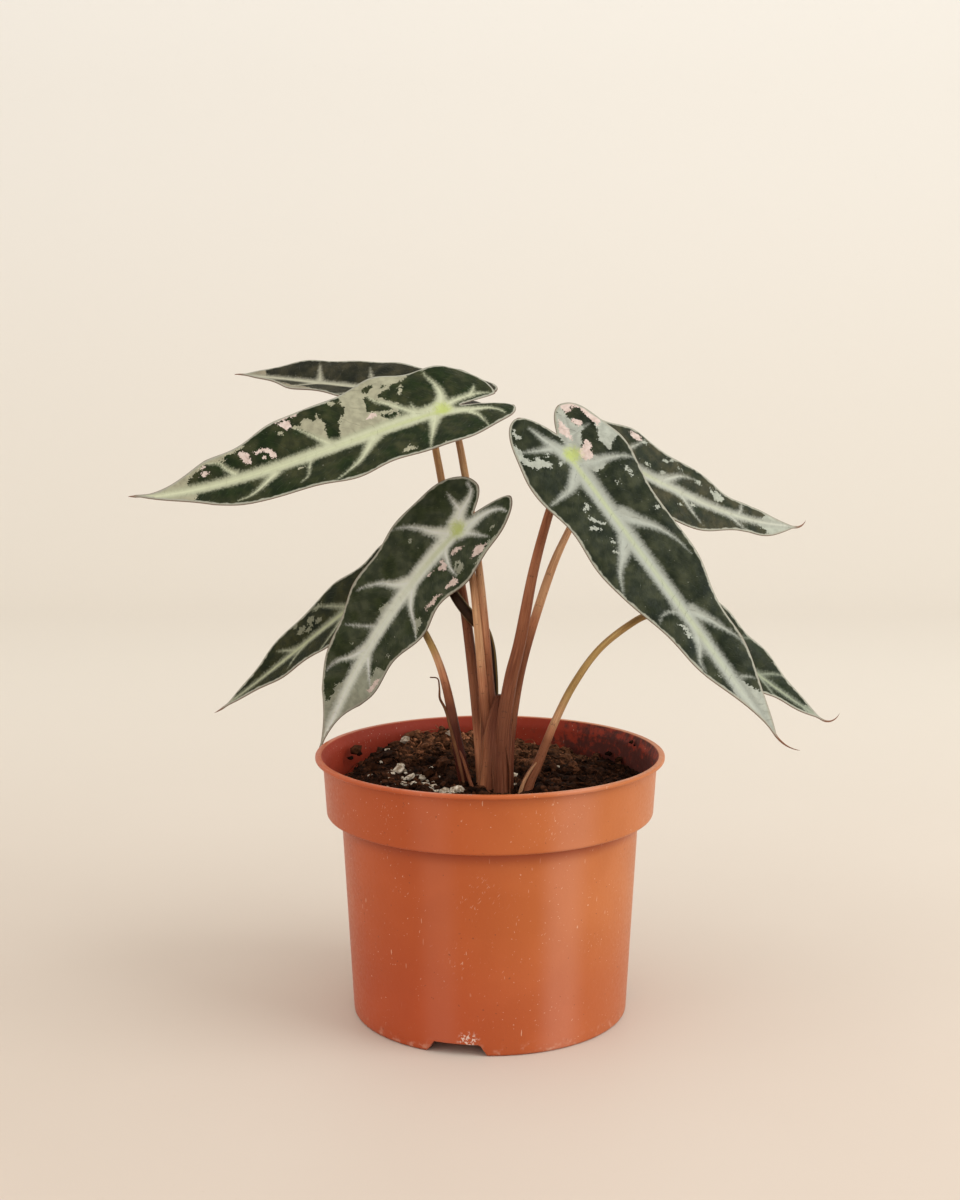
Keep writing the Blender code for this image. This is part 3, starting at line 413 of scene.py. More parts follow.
# Nearly white, pinkish patches
BLUSH = {
    "leaf_upper_left": [
        [(58, -4), (58.5, -2.8), (60, -3), (60.3, -5), (62, -6), (65, -6), (65.5, -6.8),
         (62, -7.2), (60, -6.8), (58.5, -5.5)],
        [(66.7, -3), (68, -3.3), (69.5, -5), (70.3, -7.5), (69.5, -8.7), (68, -8), (66.8, -6.5),
         (67, -5)],
        [(50, -11.5), (52, -11.2), (53.5, -13), (54.5, -14.2), (52, -14.8), (49.5, -14.2),
         (50.3, -12.8)],
        [(47, -15), (50, -15.8), (55, -14.7), (56, -15.5), (50, -17.5), (47.5, -17)],
        [(21, -5.2), (25, -4.8), (24.5, -6.5), (22, -6.4)],
        (62.1, -3.9, 0.7, 0.5), (83.2, -4, 1.5, 0.9), (83.5, -6.3, 0.9, 0.4)],
    "leaf_front_left": [
        [(-6.5, 13), (-3, 14), (2, 12.8), (-0.5, 12), (-1.5, 10.8), (-4, 11)],
        [(1, 7.5), (2.5, 7.2), (4, 6.8), (7.8, 5.5), (6, 4.5), (4, 5.3)],
        [(11, 7), (12.5, 7.8), (14.5, 6), (14.8, 5.3), (12.5, 5), (12, 3.3), (11, 4)],
        [(16, 4.5), (18.5, 4.3), (20, 3.5), (17.5, 3.7)],
        [(11, 14.5), (13, 14.5), (15.5, 13.2), (17, 12.5), (16, 12), (14, 12.5), (12, 11.8)],
        [(19, 13.2), (21, 12.4), (24, 12.8), (28, 11.7), (27.5, 10.8), (25, 11.4), (22, 11.2),
         (20.5, 11.8)],
        [(61, 10.8), (65, 10), (68.5, 9.4), (68, 8), (65, 8.5), (62, 9.2)]],
    "leaf_front_right": [
        [(-20, 8), (-17, 6.5), (-13.5, 7), (-13, 9), (-14.5, 10.5), (-12.5, 12), (-9, 12.3),
         (-6, 13), (-4, 13), (-5, 15), (-8, 17.5), (-13, 17), (-18, 13)],
        [(-10.5, 7.5), (-9.5, 9), (-8, 10), (-7.5, 9), (-7, 8), (-9, 7), (-10, 6.8)],
        [(-2.5, 6.8), (-0.5, 7.5), (1.5, 7.3), (1, 6.3), (3.5, 5.5), (4.5, 5), (4, 2.2), (0, 2),
         (-0.5, 5), (-1.5, 5.5)],
        [(-13, 3.5), (-9, 1), (-4, 3), (-8, 4.5)]],
    "leaf_back_right": [(9, 12, 2.6, 1.2)],
}

# Dark islands within the pale patches
ISLANDS = {
    "leaf_upper_left": [
        [(14.7, -3), (17, -1.8), (18.5, -2.8), (21.2, -5.2), (19, -4.9), (17, -4.2), (15, -4.6)],
        [(15.2, -5.6), (18, -6), (21, -6.6), (24.3, -7.8), (23.5, -11), (23.8, -13.8), (22, -13.5),
         (19.5, -11), (18, -9.2), (16.3, -7.5)],
        [(18.8, -16.5), (21.5, -15), (23.7, -16), (22, -17.3), (19.2, -17.6)],
        [(14.2, -15.4), (16.8, -15), (16.2, -16.4)]],
    "leaf_front_left": [(7.4, 10.4, 0.7, 0.5), (24, 4, 0.9, 0.5), (29.8, 3.4, 0.5, 0.3)],
    "leaf_front_right": [
        [(-14.2, 10.5), (-12.5, 11.4), (-10, 11.5), (-8, 12.5), (-5.8, 12.5), (-6.8, 9.5),
         (-8.5, 10), (-9.5, 8.8), (-11, 8.8), (-13, 8.3), (-12.7, 9.5)],
        [(-5.6, 12.2), (-3, 12.2), (-0.5, 10.7), (0.2, 9.9), (1, 10.5), (5.2, 11), (5.4, 9),
         (4, 7), (2, 6.8), (0, 7.5), (-2.3, 7.1), (-2.8, 6.1), (-1.2, 5), (-2, 5), (-4, 6.5),
         (-5.7, 8), (-5.2, 10)],
        (-14.2, 9.4, 0.5, 0.4)],
}

# Colours: dark panel, its brownish drift, silver, and the pale bands. They are partly painted light:
# each leaf's were set to the light that falls on it, and the pale bands of leaf_front_left are painted
# lighter to stand in for light it does not get.
TINTS = {
    "leaf_upper_left": [(0.012, 0.022, 0.004), (0.040, 0.042, 0.016), (0.37, 0.35, 0.24),
                        (0.52, 0.53, 0.36)],
    "leaf_back_left": [(0.014, 0.015, 0.006), (0.044, 0.039, 0.019), (0.30, 0.26, 0.18),
                       (0.46, 0.44, 0.33)],
    "leaf_front_left": [(0.030, 0.040, 0.014), (0.060, 0.068, 0.038), (0.30, 0.31, 0.23),
                        (0.70, 0.72, 0.62)],
    "leaf_low_left": [(0.010, 0.015, 0.002), (0.034, 0.034, 0.009), (0.20, 0.20, 0.13),
                      (0.40, 0.41, 0.28)],
    "leaf_front_right": [(0.015, 0.020, 0.008), (0.044, 0.048, 0.024), (0.41, 0.42, 0.35),
                         (0.38, 0.39, 0.33)],
    "leaf_back_right": [(0.016, 0.022, 0.006), (0.056, 0.050, 0.022), (0.40, 0.41, 0.33),
                        (0.46, 0.46, 0.38)],
    "leaf_low_right": [(0.016, 0.024, 0.007), (0.028, 0.032, 0.012), (0.30, 0.32, 0.24),
                       (0.28, 0.30, 0.22)],
}

# Torn edges of the patches: reach and size of the tears, and reach and size of the fringe
TORN_EDGES = {"silver": (2.6, 1.3, 2.4, 0.55), "blush": (2.0, 1.2, 2.0, 0.5),
              "island": (1.8, 1.1, 2.0, 0.5)}

# Stalks: points from the crown upwards, each with the stalk's radius there
STALKS = {
    "leaf_upper_left": [(-1.5, -12.5, 68, 2.4), (-2.5, -11.5, 88, 2.4), (-3.8, -7.5, 103, 2.2),
                        (-5.6, -1.0, 117, 1.9), (-8.6, 6.5, 139, 1.7), (-13.2, 11.5, 165, 1.4),
                        (-17.0, 12.5, 185, 1.3), (-19.0, 10.5, 199, 1.2)],
    "leaf_back_left": [(2.0, -14.5, 68, 2.6), (1.8, -13.5, 88, 2.6), (0.8, -11.0, 103, 2.1),
                       (-0.4, -7.5, 118, 1.7), (-2.2, -2.5, 140, 1.4), (-4.6, 5.0, 160, 1.3),
                       (-8.6, 14.5, 185, 1.3), (-12.4, 22.0, 202, 1.2)],
    "leaf_front_left": [(-0.5, -15.5, 68, 2.4), (-0.4, -14.5, 88, 2.4), (-1.2, -12.0, 103, 2.0),
                        (-2.6, -9.0, 118, 1.6), (-4.4, -3.8, 138, 1.4), (-6.2, 1.6, 152, 1.3),
                        (-9.5, 5.6, 162, 1.2)],
    "leaf_low_left": [(-7.0, -14.5, 68, 2.6), (-8.2, -14.0, 82, 2.3), (-11.0, -10.5, 96, 1.9),
                      (-14.6, -4.5, 113, 1.5), (-18.6, 2.5, 124, 1.3), (-24.8, 12.5, 134, 1.2),
                      (-31.0, 22.0, 142, 1.1)],
    "leaf_front_right": [(4.2, -15.5, 68, 2.7), (4.0, -15.5, 88, 2.7), (4.6, -15.0, 103, 2.5),
                         (7.0, -14.5, 119, 2.3), (10.0, -14.0, 131.5, 2.1), (14.4, -13.5, 155, 1.7),
                         (19.8, -12.0, 175, 1.5), (24.4, -11.2, 187, 1.3)],
    "leaf_back_right": [(5.8, -12.0, 68, 2.4), (6.0, -11.5, 92, 2.2), (8.2, -10.0, 110, 1.8),
                        (12.2, -7.0, 128, 1.6), (20.4, -1.0, 153, 1.5), (27.0, 5.0, 167, 1.2),
                        (35.0, 11.5, 182, 1.2)],
    "leaf_low_right": [(10.2, -15.5, 68, 2.6), (12.4, -15.0, 82, 2.3), (16.2, -14.0, 90, 1.7),
                       (22.0, -11.5, 104, 1.4), (28.6, -7.0, 116, 1.3), (37.8, -1.0, 127.2, 1.2),
                       (50.4, 6.5, 135.4, 1.2), (58.5, 9.5, 138, 1.1)],
}
STALK_BEND = 3.2
STALK_STEP = 1.1
STALK_SIDES = 24
STALK_RIBS = 6
STALK_RIB_SHARE = 0.03

# How ripe each stalk is, from dark red-brown to tan, at shares of its length. The pale foot of the
# stalk of leaf_upper_left is partly painted light from the left.
RIPENESS = {
    "leaf_upper_left": [(0.2, 0.6), (0.27, 0.25), (0.5, 0.2), (0.75, 1.05), (1, 1.2)],
    "leaf_back_left": [(0.2, 0.0), (0.33, 0.25), (0.42, 0.7), (0.55, 0.95), (0.8, 1.1)],
    "leaf_front_left": [(0.25, 0.0), (0.36, 0.2), (0.46, 0.6), (0.58, 1.0)],
    "leaf_low_left": [(0.2, -0.7), (0.34, -0.4), (0.44, 0.3), (0.52, 0.6), (0.64, 1.3)],
    "leaf_front_right": [(0.16, 0.02), (0.34, 0.17), (0.46, 0.24), (0.55, 0.46), (1, 0.5)],
    "leaf_back_right": [(0.2, 0.05), (0.3, 0.25), (0.46, 0.25), (0.5, 0.5), (0.58, 0.95)],
    "leaf_low_right": [(0.15, 0.2), (0.30, 0.3), (0.40, 1.0), (0.50, 1.3)],
}

# Stages of ripeness: where each starts and is full, and its dark and light streaks
RIPE_STAGES = [(-0.6, 0.0, (0.125, 0.036, 0.016), (0.215, 0.072, 0.036)),
               (0.05, 0.35, (0.215, 0.068, 0.027), (0.335, 0.125, 0.058)),
               (0.35, 0.65, (0.38, 0.135, 0.060), (0.56, 0.240, 0.120)),
               (0.6, 0.95, (0.52, 0.240, 0.110), (0.70, 0.400, 0.210)),
               (0.95, 1.3, (0.40, 0.235, 0.075), (0.52, 0.325, 0.120))]

# Sheath round the feet of the stalks: height, middle, half width and half depth
SHEATH = [(74, 1.0, -14.2, 5.2, 4.6), (80, 1.0, -14.2, 5.7, 5.0), (91, 1.6, -13.6, 5.2, 4.6),
          (99, 2.1, -12.9, 5.0, 3.8), (105, 2.5, -12.3, 3.9, 3.0), (110, 2.9, -11.9, 2.3, 2.2),
          (113, 3.1, -11.6, 0.9, 1.2)]
SHEATH_SEGMENTS = 120

# How ripe the sheath is at places from its left to its right. Its paler left side is partly painted
# light from the left.
SHEATH_SIDES = (-3.8, -2.6, -0.8, 0.8, 3.0)
SHEATH_RIPENESS = (0.62, 0.50, 0.22, 0.0, 0.06)

# Thin edges of the sheath: how ripe, and points with radii
SHEATH_EDGES = [
    (0.50, [(-3.4, -17.2, 78, 0.5), (-3.6, -17.0, 88, 0.45), (-3.2, -15.2, 98, 0.4),
            (-3.3, -12.5, 106, 0.3), (-4.0, -9.9, 112, 0.2)]),
    (0.20, [(6.6, -17.4, 78, 0.5), (6.6, -17.6, 88, 0.45), (5.0, -17.0, 98, 0.4),
            (3.2, -15.0, 106, 0.35), (2.6, -12.8, 112, 0.3)]),
    (0.15, [(1.6, -19.0, 78, 0.45), (1.0, -18.6, 87, 0.4), (0.9, -16.6, 97, 0.35),
            (1.0, -14.4, 104, 0.25)]),
    (0.25, [(-4.8, -17.4, 79, 1.1), (-6.6, -16.6, 84, 1.0), (-9.0, -13.8, 91, 0.8),
            (-11.6, -10.8, 97.5, 0.5)]),
    (0.85, [(9.6, -18.2, 79, 1.2), (11.2, -17.6, 84, 1.0), (13.6, -16.3, 88, 0.7),
            (16.2, -14.8, 91, 0.4)]),
]

# Rolled young leaf and the dried curl of an old sheath: points and radii
NEW_LEAF = [(1.8, -6.6, 109.5, 1.1), (1.1, -4.6, 118, 1.6), (-0.1, -0.8, 127, 1.9),
            (-2.6, 1.6, 133.5, 2.1), (-7.0, 1.8, 138, 2.0), (-12.0, 3.6, 144.5, 1.7),
            (-16.5, 7.5, 152, 0.7)]
DRIED_SHEATH = [(-8.6, -16.0, 83, 0.7), (-10.2, -13.7, 90, 1.1), (-12.0, -11.0, 97, 1.3),
                (-13.5, -8.7, 102.4, 1.2), (-14.5, -7.4, 105.6, 1.0), (-15.6, -6.6, 108, 0.8),
                (-17.0, -5.8, 110.6, 0.7), (-17.2, -4.6, 114, 0.5), (-17.8, -4.0, 117, 0.4),
                (-20.4, -3.6, 117.4, 0.4)]


# Meshes

def add_object(name, data):
    """An object in the scene that shows the data."""
    item = bpy.data.objects.new(name, data)
    bpy.context.scene.collection.objects.link(item)
    return item


def add_piece(name, points, faces, finishes, values=None, finish_of_face=None):
    """A mesh from points in millimetres round the pot's axis, with seams and poles welded. The
    values are numbers kept on its points."""
    mesh = bpy.data.meshes.new(name)
    mesh.from_pydata((points.reshape(-1, 3) * MM + AXIS).tolist(), [],
                     faces.reshape(-1, 4).tolist())
    for key, value in (values or {}).items():
        layer = mesh.attributes.new(key, "FLOAT", "POINT")
        layer.data.foreach_set("value", np.asarray(value, np.float32).ravel())
    for finish in finishes:
        mesh.materials.append(finish)
    if finish_of_face is not None:
        mesh.polygons.foreach_set("material_index", finish_of_face)
    work = bmesh.new()
    work.from_mesh(mesh)
    bmesh.ops.remove_doubles(work, verts=work.verts, dist=WELD_DISTANCE)
    work.to_mesh(mesh)
    work.free()
    mesh.shade_smooth()
    piece = add_object(name, mesh)
    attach(piece, "root")
    return piece


def grid_faces(rows, columns, closed=False, first=0):
    """Quads between neighbouring rows and columns of a grid, whose last column may join its first."""
    index = first + np.arange(rows * columns).reshape(rows, columns)
    if closed:
        index = np.hstack([index, index[:, :1]])
    corners = [index[:-1, :-1], index[:-1, 1:], index[1:, 1:], index[1:, :-1]]
    return np.stack(corners, -1).reshape(-1, 4)


def circle(sides):
    """Angles evenly round a circle."""
    return np.linspace(0, 2 * np.pi, sides, endpoint=False)


def smooth_path(points, step):
    """Points about a step apart on a cubic curve that runs smoothly through the given ones."""
    points = np.array(points, float)
    ends = np.vstack([2 * points[0] - points[1], points, 2 * points[-1] - points[-2]])
    path = []
    for index in range(1, len(points)):
        a, b, c, d = ends[index - 1:index + 3]
        count = max(1, round(float(np.linalg.norm(c[:3] - b[:3])) / step))
        t = (np.arange(count) / count)[:, None]
        path.append(0.5 * (2 * b + (c - a) * t + (2 * a - 5 * b + 4 * c - d) * t ** 2
                           + (3 * b - 3 * c + d - a) * t ** 3))
    return np.vstack(path + [points[-1:]])


def carried_frames(centres, start):
    """Two sides at each point of a path, carried along it without turning."""
    tangents = np.gradient(centres, axis=0)
    tangents /= np.linalg.norm(tangents, axis=1)[:, None]
    sides = np.empty_like(tangents)
    side = np.array(start, float)
    for index, tangent in enumerate(tangents):
        side = side - np.dot(side, tangent) * tangent
        side = side / np.linalg.norm(side)
        sides[index] = side
    return sides, np.cross(tangents, sides)


def lattice_noise(x, y, cell, seed):
    """Smooth noise from -1 to 1: random heights on a square lattice, eased between with 3t^2 - 2t^3."""
    heights = np.random.default_rng(seed).uniform(-1, 1, (LATTICE, LATTICE))
    gx, gy = x / cell + LATTICE / 2, y / cell + LATTICE / 2
    ix, iy = np.floor(gx).astype(int), np.floor(gy).astype(int)
    tx, ty = gx - ix, gy - iy
    tx, ty = tx * tx * (3 - 2 * tx), ty * ty * (3 - 2 * ty)
    ix, iy = ix % (LATTICE - 1), iy % (LATTICE - 1)
    low = heights[ix, iy] * (1 - tx) + heights[ix + 1, iy] * tx
    high = heights[ix, iy + 1] * (1 - tx) + heights[ix + 1, iy + 1] * tx
    return low * (1 - ty) + high * ty


def bell(distance, width):
    """The exponential of minus the square of a distance over a width."""
    return np.exp(-(distance / width) ** 2)


# Material tools

class Value:
    """A node's output, which takes plus, minus, times and divided by like a number."""

    def __init__(self, nodes, socket):
        self.nodes = nodes
        self.socket = socket

    def __add__(self, other):
        return self.nodes.math("ADD", self, other)

    def __sub__(self, other):
        return self.nodes.math("SUBTRACT", self, other)

    def __rsub__(self, other):
        return self.nodes.math("SUBTRACT", other, self)

    def __mul__(self, other):
        return self.nodes.math("MULTIPLY", self, other)

    def __truediv__(self, other):
        return self.nodes.math("DIVIDE", self, other)

    def __rtruediv__(self, other):
        return self.nodes.math("DIVIDE", other, self)

    def __abs__(self):
        return self.nodes.math("ABSOLUTE", self)

    def most(self, other):
        return self.nodes.math("MAXIMUM", self, other)

    def ease(self, low, high, start=0.0, end=1.0):
        """Runs smoothly from start at low to end at high."""
        return self.nodes.add("ShaderNodeMapRange", {0: self, 1: low, 2: high, 3: start, 4: end},
                              interpolation_type="SMOOTHSTEP")

    def mix(self, share, other, kind="MIX"):
        return self.nodes.mix(share, self, other, kind)

    def noise(self, scale, detail=2.0, roughness=0.5):
        return self.nodes.add("ShaderNodeTexNoise", {"Vector": self, "Scale": scale,
                                                     "Detail": detail, "Roughness": roughness})

    def scaled(self, x, y, z):
        """Each part of a place times its own number."""
        return self.nodes.add("ShaderNodeVectorMath", {0: self, 1: (x, y, z)},
                              operation="MULTIPLY")

    def specks(self, size, level):
        return self.nodes.use(SPECKS, Place=self, Size=size, Level=level)

    def mottle(self, size, first, second):
        return self.nodes.use(MOTTLE, Place=self, Size=size, First=first, Second=second)


class Nodes:
    """Adds nodes to one tree."""

    def __init__(self, tree):
        self.tree = tree

    def connect(self, socket, value):
        """Links a node's output to an input, or sets the input to a plain number, place or colour."""
        if isinstance(value, Value):
            self.tree.links.new(value.socket, socket)
        elif socket.type == "RGBA":
            socket.default_value = (*value, 1)
        else:
            socket.default_value = value

    def add(self, kind, inputs=None, output=0, **settings):
        node = self.tree.nodes.new(kind)
        for key, value in settings.items():
            setattr(node, key, value)
        for key, value in (inputs or {}).items():
            self.connect(node.inputs[key], value)
        return Value(self, node.outputs[output])

    def use(self, group, **inputs):
        inputs = {key.replace("_", " "): value for key, value in inputs.items()}
        return self.add("ShaderNodeGroup", inputs, node_tree=group)

    def math(self, operation, *values):
        return self.add("ShaderNodeMath", dict(enumerate(values)), operation=operation)

    def mix(self, share, first, second, kind="MIX"):
        """The first colour where share is 0, and the second, or the first blended with it in the
        named way, where it is 1."""
        return self.add("ShaderNodeMix", {0: share, 6: first, 7: second}, 2, data_type="RGBA",
                        blend_type=kind)

    def length(self, x, y):
        return self.math("SQRT", x * x + y * y)

    def vector(self, x, y):
        return self.add("ShaderNodeCombineXYZ", {0: x, 1: y})

    def parts(self, place):
        """X, Y and Z of a place."""
        separate = self.add("ShaderNodeSeparateXYZ", {0: place}).socket.node
        return [Value(self, socket) for socket in separate.outputs]

    def stored(self, *names):
        """Numbers stored on the piece's points."""
        return [self.add("ShaderNodeAttribute", output="Fac", attribute_name=name)
                for name in names]

    def streaks(self, along, across, length, width):
        return self.use(STREAKS, Along=along, Across=across, Length=length, Width=width)

    def object_place(self):
        """Object coordinates in millimetres."""
        return self.add("ShaderNodeTexCoord", output="Object").scaled(1000, 1000, 1000)

    def round_axis(self, place):
        """X, Y and Z of a place in millimetres, measured from the pot's axis."""
        return self.parts(self.add("ShaderNodeVectorMath", {0: place, 1: tuple(AXIS / MM)},
                                   operation="SUBTRACT"))


class Finish(Nodes):
    """A material whose Principled shader gets a plain roughness and specular level."""

    def __init__(self, name, roughness, specular):
        self.material = bpy.data.materials.new(name)
        self.material.use_nodes = True
        super().__init__(self.material.node_tree)
        self.inputs = self.tree.nodes["Principled BSDF"].inputs
        self.inputs["Roughness"].default_value = roughness
        self.inputs["Specular IOR Level"].default_value = specular

    def done(self, colour, height=None, depth=0.1, roughness=None):
        """The material with its colour, a bump whose height is a share of depth in millimetres,
        and a roughness that varies."""
        self.connect(self.inputs["Base Color"], colour)
        if height is not None:
            bump = self.add("ShaderNodeBump", {"Distance": depth * MM, "Height": height})
            self.connect(self.inputs["Normal"], bump)
        if roughness is not None:
            self.connect(self.inputs["Roughness"], roughness)
        return self.material


def new_group(name, build, output, kind, **starts):
    """A shader group with one output, which build works out from the inputs. The inputs are given
    with their start values, which are numbers, places or colours."""
    tree = bpy.data.node_groups.new(name, "ShaderNodeTree")
    for label, start in starts.items():
        sort = {1: "NodeSocketFloat", 3: "NodeSocketVector", 4: "NodeSocketColor"}[np.size(start)]
        socket = tree.interface.new_socket(name=label.replace("_", " "), in_out="INPUT",
                                           socket_type=sort)
        socket.default_value = start
    tree.interface.new_socket(name=output, in_out="OUTPUT", socket_type=kind)
    nodes = Nodes(tree)
    entry = tree.nodes.new("NodeGroupInput")
    values = [Value(nodes, socket) for socket, _ in zip(entry.outputs, starts)]
    nodes.connect(tree.nodes.new("NodeGroupOutput").inputs[0], build(nodes, *values))
    return tree


def streak_noise(nodes, along, across, length, width):
    """Fine streaks that run along a surface: noise drawn out along the first coordinate."""
    return nodes.vector(along / length, across / width).noise(1.0, 3.0, 0.6)


def ragged_patch(nodes, inside, place, tear, tear_size, fringe, fringe_size):
    """A patch with a torn edge: the distance inside its outline, shifted by two noises."""
    coarse = place.noise(1.0 / tear_size) - 0.5
    fine = place.noise(1.0 / fringe_size) - 0.5
    return (coarse * tear + inside + fine * fringe).ease(-0.06, 0.06)


def noise_peaks(nodes, place, size, level):
    """Scattered specks: the peaks of a noise above a level."""
    return place.noise(1.0 / size, 1.0).ease(level, level + 0.03)


def drifting_colours(nodes, place, size, first, second):
    """Two colours that drift into each other over a given size."""
    return first.mix(place.noise(1.0 / size, 3.0).ease(0.35, 0.65), second)


def slanting_lines(nodes, run, width, spacing, place):
    """Thin lines that leave the middle slanting and curve towards the tip, a spacing apart, faded
    here and there by noise."""
    start = run - (width * 0.035 + 0.55) * width
    start = (place.noise(0.22) - 0.5) * 4.0 + start
    off = abs(nodes.math("FRACT", start / spacing) - 0.5) * spacing
    return off.ease(0.20, 0.05) * place.noise(0.35).ease(0.42, 0.65)


NOWHERE = (0.0, 0.0, 0.0)
STREAKS = new_group("streaks", streak_noise, "Streaks", "NodeSocketFloat", Along=0.0, Across=0.0,
                    Length=8.0, Width=0.3)
RAGGED = new_group("ragged patch", ragged_patch, "Mask", "NodeSocketFloat", Inside=0.0,
                   Place=NOWHERE, Tear=2.0, Tear_size=2.5, Fringe=0.8, Fringe_size=0.6)
SPECKS = new_group("specks", noise_peaks, "Mask", "NodeSocketFloat", Place=NOWHERE, Size=1.0,
                   Level=0.7)
MOTTLE = new_group("mottle", drifting_colours, "Colour", "NodeSocketColor", Place=NOWHERE,
                   Size=10.0, First=(0, 0, 0, 1), Second=(1, 1, 1, 1))
FINE_VEINS = new_group("fine veins", slanting_lines, "Mask", "NodeSocketFloat", Run=0.0, Width=0.0,
                       Spacing=4.0, Place=NOWHERE)


def shaded(colour, share):
    """A colour times a share."""
    return tuple(share * part for part in colour)


# Blade shape

def blade_frame(leaf, u):
    """Directions along the midrib, across to the left and out of the upper face, at distances u."""
    share = np.clip(u / leaf.length, -0.25, 1.0)
    past = np.clip((u - leaf.length) / leaf.tail[0], 0, 1)
    square = share ** 2 * (share > 0)
    heading = np.radians(leaf.heading + leaf.turn[0] * share + leaf.turn[1] * square
                         + leaf.tail[2] * past)
    pitch = np.radians(leaf.pitch + leaf.droop[0] * share + leaf.droop[1] * square
                       + leaf.tail[1] * past)
    roll = np.radians(leaf.roll + leaf.twist * share)[:, None]
    flat, rise = np.cos(pitch), np.sin(pitch)
    along = np.stack([flat * np.cos(heading), flat * np.sin(heading), rise], 1)
    upward = np.stack([-rise * np.cos(heading), -rise * np.sin(heading), flat], 1)
    level = np.stack([-np.sin(heading), np.cos(heading), 0 * heading], 1)
    across = np.cos(roll) * level + np.sin(roll) * upward
    out = np.cos(roll) * upward - np.sin(roll) * level
    return along, across, out


def midrib(leaf, u):
    """Points of the midrib line at distances u, by summing its direction from the stalk."""
    steps = np.linspace(-30, leaf.length + leaf.tail[0], MIDRIB_STEPS)
    along = blade_frame(leaf, steps)[0]
    line = np.zeros((len(steps), 3))
    line[1:] = np.cumsum((along[1:] + along[:-1]) / 2 * np.diff(steps)[:, None], axis=0)
    start = [np.interp(0, steps, line[:, axis]) for axis in range(3)]
    line += np.array(leaf.at) - start
    return np.stack([np.interp(u, steps, line[:, axis]) for axis in range(3)], 1)


def half_width(leaf, u, half):
    """Distance of the margin from the middle line: (1 - x ** taper) ** point with slow waves.

    x runs from 0 at the lobe's end to 1 at the tip. The lobe's end is rounded off towards its own
    spread, and past the tip the dried thread narrows evenly.
    """
    lobe, spread, width = leaf.lobe[half], leaf.spread[half], leaf.width[half]
    height, number, start = leaf.waves[half]
    x = np.clip((u + lobe) / (leaf.length + lobe), 0, 1)
    swing = np.sin(2 * np.pi * number * x + radians(start))
    swing *= np.clip(x / 0.15, 0, 1) * np.clip((1 - x) / 0.25, 0, 1)
    body = width * (1 - x ** leaf.taper[half]) ** leaf.point[half] + height * swing
    body -= leaf.slim_tip * np.sin(np.pi * np.clip((x - 0.8) / 0.2, 0, 1))
    past = np.clip((u - leaf.length) / leaf.tail[0], 0, 1)
    body = np.maximum(body, TAIL_HALF_WIDTH * (1 - 0.9 * past))
    rounded = np.clip(x * (leaf.length + lobe) / (LOBE_ROUNDING * lobe), 0, 1)
    return spread + (body - spread) * np.sqrt(1 - (1 - rounded) ** 2)


def notch_edge(leaf, u, half):
    """Distance of a lobe's inner edge from the middle line: it falls as a square root to 0."""
    lobe = leaf.lobe[half]
    share = np.clip((u + lobe) / (lobe - leaf.sinus), 0, 1)
    return leaf.spread[half] * (1 - np.sqrt(share))


def blade_points(leaf, u, v, half):
    """Points of the blade at distance u along and v across, in the given half. The halves rise as
    the root of v squared plus a rounding squared, so that the fold between them is soft."""
    along, across, out = blade_frame(leaf, u)
    share = np.clip(u / leaf.length, -0.25, 1)
    fold = np.radians(leaf.fold[0] + leaf.fold[1] * share)
    outward = (v / (sum(leaf.width) / 2)) ** 2
    size, number, start = leaf.ruffle
    phase = radians(start) + half * RUFFLE_OFFSET
    height = np.hypot(v, FOLD_ROUNDING) * np.sin(fold) - leaf.cup * outward
    height += leaf.lift * (np.clip(-u, 0, None) / LOBE_LIFT_REACH) ** 2
    height += size * outward * np.sin(2 * np.pi * number * share + phase)
    sideways = (1, -1)[half] * v * np.cos(fold)
    return midrib(leaf, u) + sideways[:, None] * across + height[:, None] * out


def blade_normals(leaf, u, v, half):
    """Unit normals of the upper face, from differences along and across."""
    reach = 0.4
    along = blade_points(leaf, u + reach, v, half) - blade_points(leaf, u - reach, v, half)
    across = blade_points(leaf, u, v + reach, half) - blade_points(leaf, u, v - reach, half)
    normal = (1, -1)[half] * np.cross(along, across)
    return normal / np.linalg.norm(normal, axis=1)[:, None]


def segment_distance(u, v, start, end):
    """Distance of each (u, v) from a straight line, and at what share of it it is nearest."""
    run, rise = end[0] - start[0], end[1] - start[1]
    share = ((u - start[0]) * run + (v - start[1]) * rise) / max(run ** 2 + rise ** 2, 1e-18)
    share = np.clip(share, 0, 1)
    return np.hypot(u - start[0] - share * run, v - start[1] - share * rise), share


def line_distance(u, v, line):
    """Distance of each (u, v) from a line of points, how far along it it is nearest, and the
    line's length."""
    best = np.full(len(u), FAR)
    nearest = np.zeros(len(u))
    gone = 0.0
    for start, end in zip(line[:-1], line[1:]):
        length = np.hypot(*(end - start))
        away, share = segment_distance(u, v, start, end)
        closer = away < best
        best = np.where(closer, away, best)
        nearest = np.where(closer, gone + share * length, nearest)
        gone += length
    return best, nearest, gone


def margin_line(leaf, half):
    """Outline of one half as points (u, v): up the notch edge, then round the margin to the tip."""
    lobe = leaf.lobe[half]
    margin_u = -lobe + (leaf.length + leaf.tail[0] + lobe) * np.linspace(0, 1, 90) ** 1.5
    notch_u = np.linspace(-leaf.sinus, -lobe, 16)
    return np.vstack([np.stack([notch_u, notch_edge(leaf, notch_u, half)], 1),
                      np.stack([margin_u, half_width(leaf, margin_u, half)], 1)])


